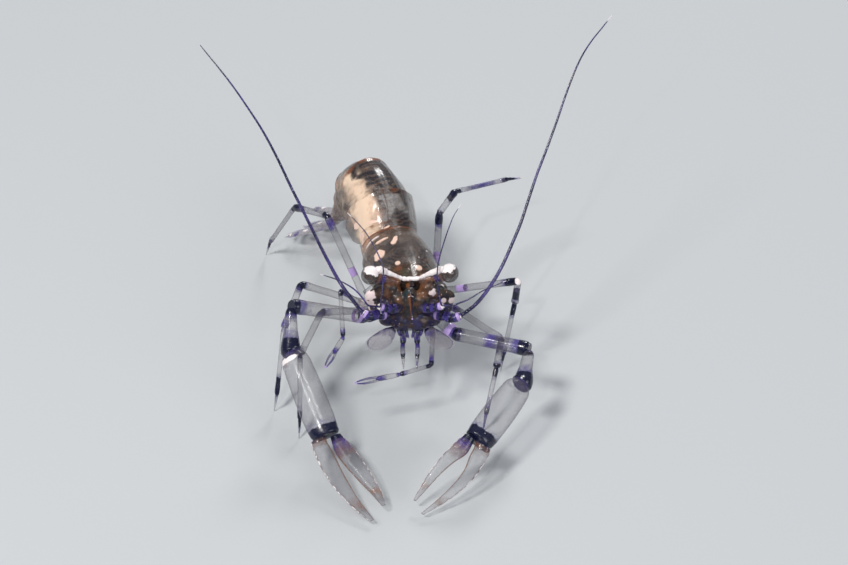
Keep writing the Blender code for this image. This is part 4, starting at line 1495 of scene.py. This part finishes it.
def make_tail_fan():
    near = SOMITE_RINGS["somite_6"][-1].mean(0)

    def fan_paint(share, across):
        return {"violet": 0.75 * bell(share, 0.80, 0.07) + 0.4 * bell(share, 0.15, 0.1),
                "white": most(0.85 * spot(share, across, (0.60, 0.1), (0.10, 0.45)),
                              0.75 * (share > 0.93)),
                "orange": 0.3 * bell(share, 0.3, 0.14)}

    for name, side in SIDES.items():
        make_blade(f"uropod_{name}_outer_blade", f"uropod_{name}_outer", near,
                   outer_edges(side), FAN, trim=0.34, ribs=(0.0, 0.55 * side),
                   fields=fan_paint, fringe=(0.45, 0.9, 0.34, 0.035), seed=11 + side,
                   reach_back=0.34)
        make_blade(f"uropod_{name}_inner_blade", f"uropod_{name}_inner", near,
                   (ROUND_BLADE, ROUND_BLADE), FAN, trim=0.32, fields=fan_paint,
                   fringe=(0.35, 0.9, 0.34, 0.035), seed=21 + side,
                   reach_back=0.34)
    make_blade("telson_blade", "telson", near, (TELSON_EDGE, TELSON_EDGE), FAN,
               cup=0.22, thick=0.10, trim=0.22, ribs=(-0.45, 0.45), fields=fan_paint,
               fringe=(0.90, 0.5, 0.30, 0.05), seed=31, reach_back=0.30)


def make_scales():
    for name, side in SIDES.items():
        def scale_paint(share, across, side=side):
            rim = ramp(across * side, 0.72, 0.2)
            return {"navy": 0.5 * rim * (share < 0.92) + 0.62 * bell(share, 0.08, 0.10),
                    "violet": 0.50 * bell(share, 0.2, 0.34) + 0.34 * rim,
                    "lilac": 0.3 * bell(share, 0.9, 0.05)}

        make_blade(f"antenna_scale_{name}_blade", f"antenna_scale_{name}",
                   CARAPACE[1].mean(0), outer_edges(side), FAN, cup=0.16, trim=0.22,
                   ribs=(0.25 * side,), fields=scale_paint,
                   fringe=(0.40, 0.9, 0.24, 0.03), seed=41 + side, reach_back=0.14)


def make_swimmerets():
    def paddle_paint(share, _):
        return {"violet": 0.62 * bell(share, 0, 0.12), "white": 0.55 * bell(share, 0.5, 0.16)}

    for number, somite in enumerate(SOMITES[:5], start=1):
        near = SOMITE_RINGS[somite][2].mean(0)
        for name in SIDES:
            node = f"swimmeret_{name}_{number}"
            make_blade(f"{node}_paddle", node, near, (ROUND_BLADE, ROUND_BLADE), FAN,
                       cup=0.10, thick=0.05, trim=0.16, fields=paddle_paint,
                       fringe=(0.35, 0.9, 0.16, 0.035), seed=51 + number, widen=1.1,
                       reach_back=0.30)


# ------------------------------------------------------------------ legs and claws

def corner_path(joints, step=0.03, round_off=0.12):
    """A path through joints with each corner a little rounded, and each point's place as
    joint number plus share of the way to the next."""
    points, places = [], []
    joints = np.asarray(joints, float)
    for index in range(len(joints) - 1):
        start, end = joints[index], joints[index + 1]
        length = np.linalg.norm(end - start)
        count = max(int(length / step), 6)
        share = np.arange(count) / count
        points.append(start + (end - start) * share[:, None])
        places.append(index + share)
    points = np.concatenate(points + [joints[-1:]])
    places = np.concatenate(places + [[len(joints) - 1.0]])
    reach = max(int(round_off / step), 1)
    kernel = np.hanning(2 * reach + 3)[1:-1]
    kernel /= kernel.sum()
    padded = np.concatenate([np.repeat(points[:1], reach, 0), points,
                             np.repeat(points[-1:], reach, 0)])
    soft = np.stack([np.convolve(padded[:, k], kernel, "valid") for k in range(3)], 1)
    soft[0], soft[-1] = points[0], points[-1]
    return soft, places


def limb_joints(node, near):
    """The joints of a jointed solid, from its root: every fourth ring, and its end."""
    centres = loft_rings(node, near).mean(1)
    return np.concatenate([centres[0:1], centres[4::4]])


def into_body(root, share=0.55):
    """A limb's root moved inward, towards the body's middle line."""
    centres = CARAPACE.mean(1)
    nearest = centres[np.linalg.norm(centres - root, axis=1).argmin()]
    return root + (nearest - root) * share


def segment_girth(places, radii, waist=0.80, knuckle=1.12):
    """Thickness down a limb whose segments narrow to waists and swell before each joint."""
    index = np.clip(np.floor(places).astype(int), 0, len(radii) - 1)
    share = places - index
    start, end = np.array([r[0] for r in radii])[index], np.array([r[1] for r in radii])[index]
    body = start + (end - start) * share
    swell = 1 + (knuckle - 1) * bell(share, 0.90, 0.07)
    swell = swell + 0.5 * (knuckle - 1) * bell(share, 0.10, 0.06)
    pinch = 1 - (1 - waist) * (bell(share, 0, 0.025) + bell(1, share, 0.025))
    return body * swell * pinch


# Each leg segment's radius at its start and at its end, in millimetres.
LEG_GIRTHS = ((0.27, 0.20), (0.185, 0.175), (0.165, 0.175), (0.125, 0.110), (0.085, 0.014))

# Pigment on the legs: the place, as joint number and share of the way to the next joint, and
# half the band's length in millimetres.
LEG_BANDS = {
    "left_rear": {"navy": ((1.94, 0.30), (2.93, 0.42), (4.00, 0.30)), "white": ((4.9, 0.15),),
                  "violet": ((1.9, 0.55), (3.0, 0.5), (3.5, 0.9), (4.1, 0.6)),
                  "lilac": ((1.34, 0.28),)},
    "left_middle": {"navy": ((1.93, 0.36), (2.58, 0.24), (3.10, 0.32), (4.1, 0.20)),
                    "violet": ((1.9, 0.6), (2.6, 0.45), (3.1, 0.55), (4.1, 0.5)),
                    "white": ((2.03, 0.08),), "lilac": ((1.28, 0.22),)},
    "left_front": {"navy": ((2.08, 0.15), (3.05, 0.27), (3.92, 0.16)),
                   "violet": ((1.2, 0.3), (2.2, 0.5), (3.05, 0.45), (3.95, 0.7), (4.6, 0.4)),
                   "lilac": ((1.15, 0.10),)},
    "right_rear": {"navy": ((2.0, 0.16), (2.93, 0.42), (4.1, 0.20)),
                   "violet": ((1.9, 0.4), (2.9, 0.6), (4.1, 0.5)), "lilac": ((1.3, 0.22),)},
    "right_middle": {"navy": ((2.0, 0.20), (3.88, 0.44)), "white": ((1.05, 0.40),),
                     "violet": ((2.0, 0.4), (2.95, 0.3), (3.9, 0.6))},
    "right_front": {"navy": ((2.0, 0.14), (3.0, 0.18), (4.0, 0.44)),
                    "violet": ((2.0, 0.4), (3.0, 0.35), (4.1, 0.8)), "lilac": ((1.2, 0.12),)},
}


def banded(bands, places, lengths, wander=0.0):
    """The pigment fields of a limb from its table of bands."""
    weight = {"violet": 0.75, "white": 0.64}
    return {key: most(*(bump_at(lengths + wander, np.interp(place, places, lengths), half,
                                0.9 if key == "violet" else 0.5)
                        * weight.get(key, 1.0) for place, half in marks))
            for key, marks in bands.items()}


def make_walking_legs():
    for name, side in SIDES.items():
        for kind in ("front", "middle", "rear"):
            node = f"leg_{name}_{kind}"
            joints = limb_joints(node, CARAPACE[5].mean(0))
            joints[0] = into_body(joints[0])
            tip_floor = joints[-1][2] < 0.05
            line, places = corner_path(joints)
            girth = segment_girth(places, LEG_GIRTHS)
            if tip_floor:
                line[:, 2] = np.maximum(line[:, 2], girth * 0.9)
            lengths = arc_lengths(line)
            seed = 5.0 * side + {"front": 1, "middle": 2, "rear": 3}[kind]
            fields = banded(LEG_BANDS[f"{name}_{kind}"], places, lengths,
                            0.08 * ripple(line, 0.5, seed))
            swept_piece(f"{node}_shell", line, girth, fields, LIMB, 24, node)
            hairs_on_leg(node, line, girth, places, int(seed * 10) + 60)


def hairs_on_leg(name, line, girth, places, seed):
    """A few stiff bristles down the outer half of a leg."""
    picks = [k for k in range(4, len(line) - 3) if places[k] > 2.9 and k % 5 == 0]
    roots, lies = [], []
    for order, k in enumerate(picks):
        ahead = unit(line[k + 1] - line[k - 1])
        turn = order * 2.4
        side = unit(np.cross(ahead, UP))
        other = np.cross(side, ahead)
        out = side * math.cos(turn) + other * math.sin(turn)
        roots.append(line[k] + out * girth[k] * 0.8)
        lies.append(unit(out * 0.8 + ahead) * 0.16)
    if roots:
        low = np.array(roots)[:, 2] + np.array(lies)[:, 2]
        keep = low > 0.01
        bristles(f"{name}_bristles", np.array(roots)[keep], np.array(lies)[keep], 0.007,
                 seed)


# The way that the flat of a small claw's hand faces: forward and up.
HAND_FACE = (0.0, -0.766, 0.643)
SMALL_ARM_BANDS = {"navy": ((2.02, 0.22), (2.96, 0.09)),
                   "violet": ((1.0, 0.4), (1.9, 0.5), (2.95, 0.3))}


def make_small_claws():
    for name in SIDES:
        joints = limb_joints(f"small_claw_arm_{name}", CARAPACE[3].mean(0))
        joints[0] = into_body(joints[0], 0.40)
        hand = loft_rings(f"small_claw_{name}", joints[-1]).mean(1)
        joints[-1] = (joints[-1] + hand[0]) / 2
        line, places = corner_path(joints, 0.025, 0.10)
        lengths = arc_lengths(line)
        girth = segment_girth(places, ((0.15, 0.15), (0.125, 0.115), (0.10, 0.115)))
        swept_piece(f"small_claw_arm_{name}_shell", line, girth,
                    banded(SMALL_ARM_BANDS, places, lengths), LIMB, 22,
                    f"small_claw_arm_{name}")
        start, end = hand[0], hand[-1]
        ahead = unit(end - start)
        length = np.linalg.norm(end - start)
        palm_end = start + ahead * length * 0.46
        palm = even_path([joints[-1], start, start + ahead * length * 0.2, palm_end,
                          palm_end + ahead * 0.10], 0.025)
        share = share_down(palm)
        girth = np.interp(share, (0, 0.08, 0.3, 0.6, 0.85, 1), (0.07, 0.105, 0.13, 0.14,
                                                                0.125, 0.04))
        parts = [swept(f"small_claw_{name}_palm", palm, girth,
                       {"violet": most(bump_at(share, 0.85, 0.22, 0.9) * 0.8,
                                       bump_at(share, 0.05, 0.1))}, LIMB, 20)]
        split = unit(np.cross(ahead, HAND_FACE))
        for turn in (1, -1):
            foot = palm_end + split * turn * 0.065 - ahead * 0.08
            tip = end + split * turn * 0.03
            finger = even_path([foot, (foot + tip) / 2 + split * turn * 0.055, tip], 0.025)
            share = share_down(finger)
            parts.append(swept(f"small_claw_{name}_finger", finger,
                               0.058 * (1 - share) ** 0.6 + 0.014,
                               {"violet": np.clip(0.3 + 0.5 * share, 0, 1),
                                "lilac": bump_at(share, 0.95, 0.06)}, LIMB, 14))
        finish_piece(joined(f"small_claw_{name}_hand", parts),
                     f"small_claw_{name}")


CLAW_ARM_BANDS = {
    "left": {"navy": ((1.04, 0.13), (1.97, 0.38)), "lilac": ((0.92, 0.14),),
             "violet": ((1.0, 0.5), (1.5, 0.36), (1.9, 0.8))},
    "right": {"navy": ((1.03, 0.11), (1.99, 0.26)), "lilac": ((1.12, 0.12),),
              "violet": ((1.0, 0.5), (1.9, 0.5))},
}


def make_great_claws():
    for name, side in SIDES.items():
        body = CARAPACE[4].mean(0)
        arm = limb_joints(f"claw_arm_{name}", body)
        wrist = loft_rings(f"claw_wrist_{name}", arm[-1]).mean(1)
        palm_rings = loft_rings(f"claw_palm_{name}", wrist[-1])
        palm = palm_rings.mean(1)
        arm[0] = into_body(arm[0], 0.50)
        make_claw_arm(name, side, arm)
        make_claw_wrist(name, side, arm, wrist, palm)
        finger_rings = loft_rings(f"claw_finger_{name}", palm_rings[PALM_ROWS - 1].mean(0))
        make_claw_palm(name, side, palm_rings, finger_rings)
        make_claw_finger(name, side, finger_rings, palm_rings)


def make_claw_arm(name, side, arm):
    line, places = corner_path(arm, 0.03, 0.22)
    lengths = arc_lengths(line)
    girth = segment_girth(places, ((0.30, 0.33), (0.33, 0.35)), waist=0.84, knuckle=1.08)
    fields = banded(CLAW_ARM_BANDS[name], places, lengths, 0.06 * ripple(line, 0.4, side))
    swept_piece(f"claw_arm_{name}_shell", line, girth, fields, LIMB, 36,
                f"claw_arm_{name}")


def make_claw_wrist(name, side, arm, wrist, palm):
    """The short swollen joint between arm and palm, with a dark band at each end."""
    path = even_path([arm[-1] + (wrist[0] - arm[-1]) * 0.25, wrist[0], wrist[4],
                      wrist[-1], palm[0] + (palm[1] - palm[0]) * 0.3], 0.025)
    share = share_down(path)
    girth = np.interp(share, (0, 0.06, 0.16, 0.45, 0.75, 0.88, 0.95, 1),
                      (0.18, 0.26, 0.29, 0.33, 0.46, 0.52, 0.46, 0.30))
    top = 0.12 if side == RIGHT else 0.03
    fields = {"navy": most(bump_at(share, 0.78, 0.16), bump_at(share, 0.0, top)),
              "violet": 0.8 * most(bump_at(share, 0.78, 0.30, 0.9),
                                   bump_at(share, 0.0, 2 * top, 0.9))}
    swept_piece(f"claw_wrist_{name}_shell", path, girth, fields, LIMB, 36,
                f"claw_wrist_{name}")


# A claw palm's rows before its fixed finger starts, and how full each of them is. Then, row by
# row, how broad the fixed and the moving finger are made, and how thin.
PALM_ROWS = 7
PALM_FILL = np.array((1.34, 1.12, 0.98, 0.94, 0.94, 0.92, 0.84))
FIXED_WIDE = np.array((0.98, 1.12, 1.16, 1.12, 1.00, 0.78, 0.40))
MOVING_WIDE = np.array((0.80, 1.26, 1.34, 1.28, 1.12, 0.86, 0.40))
FINGER_THIN = np.linspace(0.80, 0.40, 7)
# The left claw's fingers are slimmer than the right claw's, past their roots.
FINGER_SHARE = {LEFT: np.array((1.10, 0.92, 0.74, 0.68, 0.66, 0.66, 0.70)), RIGHT: np.ones(7)}


def facing_finger(rings, toward):
    """Each ring's spokes, the way across to the other finger, and the spokes' reach that
    way."""
    centres = rings.mean(1)
    ahead = unit(np.gradient(centres, axis=0))
    inner = toward - centres
    inner = unit(inner - ahead * (inner * ahead).sum(1, keepdims=True))[:, None]
    spokes = rings - centres[:, None]
    return spokes, inner, (spokes * inner).sum(2, keepdims=True)


def flattened(rings, toward, wide, thin):
    """A finger's rings made broad in the claw's own plane, growing on the side that faces
    the other finger, and thin across that plane."""
    centres = rings.mean(1)
    spokes, inner, reach = facing_finger(rings, toward)
    grown = reach * wide[:, None, None] + (reach.max(1) * np.maximum(
        wide - 0.85, 0.0)[:, None])[:, None]
    return centres[:, None] + (spokes - reach * inner) * thin[:, None, None] + inner * grown


def finger_edge_highlights(grid, toward):
    """How near each point of a finger lies to the painted bright line along its two edges, a
    painted highlight of the kind a clear shell shows where it bends light at its edge, and
    which of them face the other finger."""
    reach = facing_finger(grid, toward)[2][..., 0]
    most_reach = np.abs(reach).max(1, keepdims=True)
    return ramp(np.abs(reach) / most_reach, 0.80, 0.10), reach > 0


def make_claw_palm(name, side, rings, finger_rings):
    rings = np.concatenate([
        about_centres(rings[:PALM_ROWS], PALM_FILL[:, None, None]),
        flattened(rings[PALM_ROWS:], finger_rings[1:5].mean((0, 1)),
                  FIXED_WIDE * FINGER_SHARE[side], FINGER_THIN)])
    rows, around = 170, 60
    grid = fine_rings(rings, rows, around)
    place = np.linspace(0, len(rings) - 1, rows)[:, None] * np.ones(around)
    down = lengths_down(grid)
    palm_end = np.interp(PALM_ROWS - 1, place[:, 0], down[:, 0])
    finger = np.clip((down - palm_end) / (down.max() - palm_end), 0, 1)
    grid = about_centres(grid, (1 + 0.012 * ripple(grid, 0.9, side))[..., None])
    wander = 0.10 * ripple(grid, 0.5, side)
    from_end = down - palm_end
    edge, inside = finger_edge_highlights(grid, finger_rings[1:5].mean((0, 1)))
    edge = edge * np.clip(finger * 12, 0, 1)
    # Along the finger edges the orange and the white are painted light: the bright line of a
    # clear edge, orange on both edges and white on the outer ones.
    fields = {"along": down, "around": share_round(grid),
              "navy": bump_at(from_end + wander, -0.06, 0.42),
              "violet": 0.64 * most(bump_at(from_end + wander, -0.16, 0.56, 0.9),
                                    0.5 * bump_at(down, 0.05, 0.40, 0.9)),
              "orange": most(0.52 * bump_at(from_end, 0.52, 0.26, 0.9),
                             0.50 * bump_at(finger, 0.80, 0.10, 0.9),
                             edge * np.where(inside, 0.72, 0.50)),
              "white": most(0.50 * edge * ~inside, 0.8 * bump_at(down, 0.30, 0.16) * np.clip(
                  0.5 + 3 * ripple(grid, 0.8, 3), 0, 1) * (side == RIGHT)),
              "lilac": np.zeros(down.shape)}
    skin_piece(f"claw_palm_{name}_shell", grid, fields, LIMB, f"claw_palm_{name}")


def make_claw_finger(name, side, rings, palm_rings):
    toward = palm_rings[PALM_ROWS:-2].mean((0, 1))
    rings = flattened(rings, toward, MOVING_WIDE * FINGER_SHARE[side], FINGER_THIN)
    rows, around = 90, 44
    grid = fine_rings(rings, rows, around)
    share = np.linspace(0, 1, rows)[:, None] * np.ones(around)
    edge, inside = finger_edge_highlights(grid, toward)
    # Along the finger edges the orange and the white are painted light: the bright line of a
    # clear edge, orange on both edges and white on the outer ones.
    fields = {"along": lengths_down(grid), "around": share_round(grid),
              "navy": bump_at(share, 0.0, 0.07),
              "violet": 0.75 * bump_at(share, 0.0, 0.20, 0.9),
              "orange": most(0.55 * bump_at(share, 0.16, 0.14, 0.9),
                             0.50 * bump_at(share, 0.80, 0.12, 0.9),
                             edge * np.where(inside, 0.72, 0.50)),
              "white": 0.50 * edge * ~inside, "lilac": np.zeros(share.shape)}
    skin_piece(f"claw_finger_{name}_shell", grid, fields, LIMB,
               f"claw_finger_{name}")


# ------------------------------------------------------------------ the mouth

def make_mouth():
    rings = loft_rings("mouthparts", CARAPACE[2].mean(0))
    grid = fine_rings(about_centres(rings, 0.86), 50, 60)
    grid = about_centres(grid, (1 + 0.10 * ripple(grid, 0.34, 5.0))[..., None])
    fields = bare(grid.shape[:2])
    fields["along"], fields["around"] = lengths_down(grid), share_round(grid)
    fields["violet"] = 0.5 + 0.35 * ripple(grid, 0.4, 1.0)
    fields["lilac"] = 0.45 + 0.4 * ripple(grid, 0.25, 8.0)
    skin_piece("mouth_bundle", grid, fields, MOUTH, "mouthparts")
    core = rings.mean((0, 1))
    make_palps(core)
    make_jaw_feet(core)


def make_palps(core):
    """Three pairs of small feelers that hang under the mouth."""
    parts = []
    for side in (LEFT, RIGHT):
        for wide, down, reach in ((0.16, 0.05, 0.75), (0.36, -0.05, 0.85),
                                  (0.54, 0.12, 0.70)):
            start = core + np.array((side * wide, 0.15, -0.10 + down))
            line = even_path([start, start + (side * 0.06, -0.35, -0.12),
                              start + (side * -0.02, -0.35 - reach * 0.35, -0.40),
                              start + (side * -0.08, -0.25 - reach * 0.3, -0.40 - reach * 0.4)],
                             0.025)
            share = share_down(line)
            parts.append(swept("jaw_palp", line, 0.105 * (1 - share) ** 0.5 + 0.02,
                               {"violet": 0.6 * np.ones(len(line)),
                                "navy": bump_at(share, 0.5, 0.08),
                                "lilac": bump_at(share, 0.9, 0.1)}, MOUTH, 14))
    finish_piece(joined("jaw_palps", parts))


def make_jaw_feet(core):
    for name, side in SIDES.items():
        centres = loft_rings(f"jaw_foot_{name}", core).mean(1)
        line = even_path(np.concatenate([[core + (side * 0.3, 0.1, -0.1)], centres]), 0.025)
        share = share_down(line)
        girth = np.interp(share, (0, 0.2, 0.42, 0.46, 0.7, 0.74, 1), (0.12, 0.17, 0.15, 0.11,
                                                                      0.12, 0.09, 0.025))
        fields = {"violet": most(0.42 * np.ones(len(line)), bump_at(share, 0.45, 0.12, 0.9)),
                  "navy": most(bump_at(share, 0.45, 0.04), bump_at(share, 0.73, 0.04))}
        swept_piece(f"jaw_foot_{name}_shell", line, girth, fields, LIMB, 20,
                    f"jaw_foot_{name}")
        hairs_on_leg(f"jaw_foot_{name}", line, girth, share * 3 + 2, 90 + side)


# ------------------------------------------------------------------ floor, light and camera

def plain_material(name, colour, roughness):
    material = bpy.data.materials.new(name)
    material.use_nodes = True
    shader = material.node_tree.nodes["Principled BSDF"]
    shader.inputs["Base Color"].default_value = colour
    shader.inputs["Roughness"].default_value = roughness
    return material


def soft_light(name, place, size, power, colour):
    light = bpy.data.lights.new(name, "AREA")
    light.shape, light.size, light.energy, light.color = "DISK", size, power, colour
    lamp = new_object(name, light)
    lamp.location = place
    toward = Vector(EYE_LINE * MM) - Vector(place)
    lamp.rotation_euler = toward.to_track_quat("-Z", "Y").to_euler()


# Each lamp's place and size in metres, its power and its colour.
LAMPS = {
    "key": ((-0.10, -0.08, 0.20), 0.05, 0.40, (1.0, 0.98, 0.95)),
    "fill": ((0.16, -0.14, 0.12), 0.12, 0.13, (0.93, 0.96, 1.0)),
    "back": ((0.06, 0.20, 0.14), 0.06, 0.22, (1.0, 1.0, 1.0)),
    "flash": ((-0.035, -0.13, 0.15), 0.008, 0.05, (1.0, 1.0, 1.0)),
}


def make_studio():
    floor = new_object("floor", bpy.data.meshes.new("floor"))
    floor.data.from_pydata([(-1, -1, 0), (1, -1, 0), (1, 1, 0), (-1, 1, 0)], [],
                           [(0, 1, 2, 3)])
    floor.data.materials.append(plain_material("floor", rgb(0.50, 0.52, 0.54), 0.7))
    for name, lamp in LAMPS.items():
        soft_light(name, *lamp)
    world = bpy.data.worlds.new("studio")
    world.use_nodes = True
    world.node_tree.nodes["Background"].inputs[0].default_value = rgb(0.80, 0.84, 0.88)
    world.node_tree.nodes["Background"].inputs[1].default_value = 0.30
    bpy.context.scene.world = world
    bpy.context.scene.cycles.transparent_max_bounces = 32
    bpy.context.scene.view_settings.view_transform = "Standard"


# The camera's height above the level in degrees, its distance in metres, its lens, and where
# it looks, in millimetres from between the eyes.
CAMERA_ELEVATION = 40.0
CAMERA_DISTANCE = 0.200
CAMERA_LENS = 176.6
LOOK_BESIDE_EYES = np.array((0.675, 0.13, -0.625))


def make_camera():
    target = (EYE_LINE + LOOK_BESIDE_EYES) * MM
    lean = math.radians(CAMERA_ELEVATION)
    place = target + CAMERA_DISTANCE * np.array((0.0, -math.cos(lean), math.sin(lean)))
    camera = new_object("camera", bpy.data.cameras.new("camera"))
    camera.data.lens = CAMERA_LENS
    camera.data.clip_start = 0.01
    camera.data.clip_end = 10.0
    camera.location = place
    camera.rotation_euler = (math.pi / 2 - lean, 0.0, 0.0)
    bpy.context.scene.camera = camera


make_camera()
make_studio()
make_carapace()
make_thorax()
make_innards()
make_face()
make_plates()
make_abdomen_flesh()
make_rostrum()
make_eyes()
make_antennae()
make_antennules()
make_scales()
make_tail_fan()
make_swimmerets()
make_mouth()
make_small_claws()
make_great_claws()
make_walking_legs()
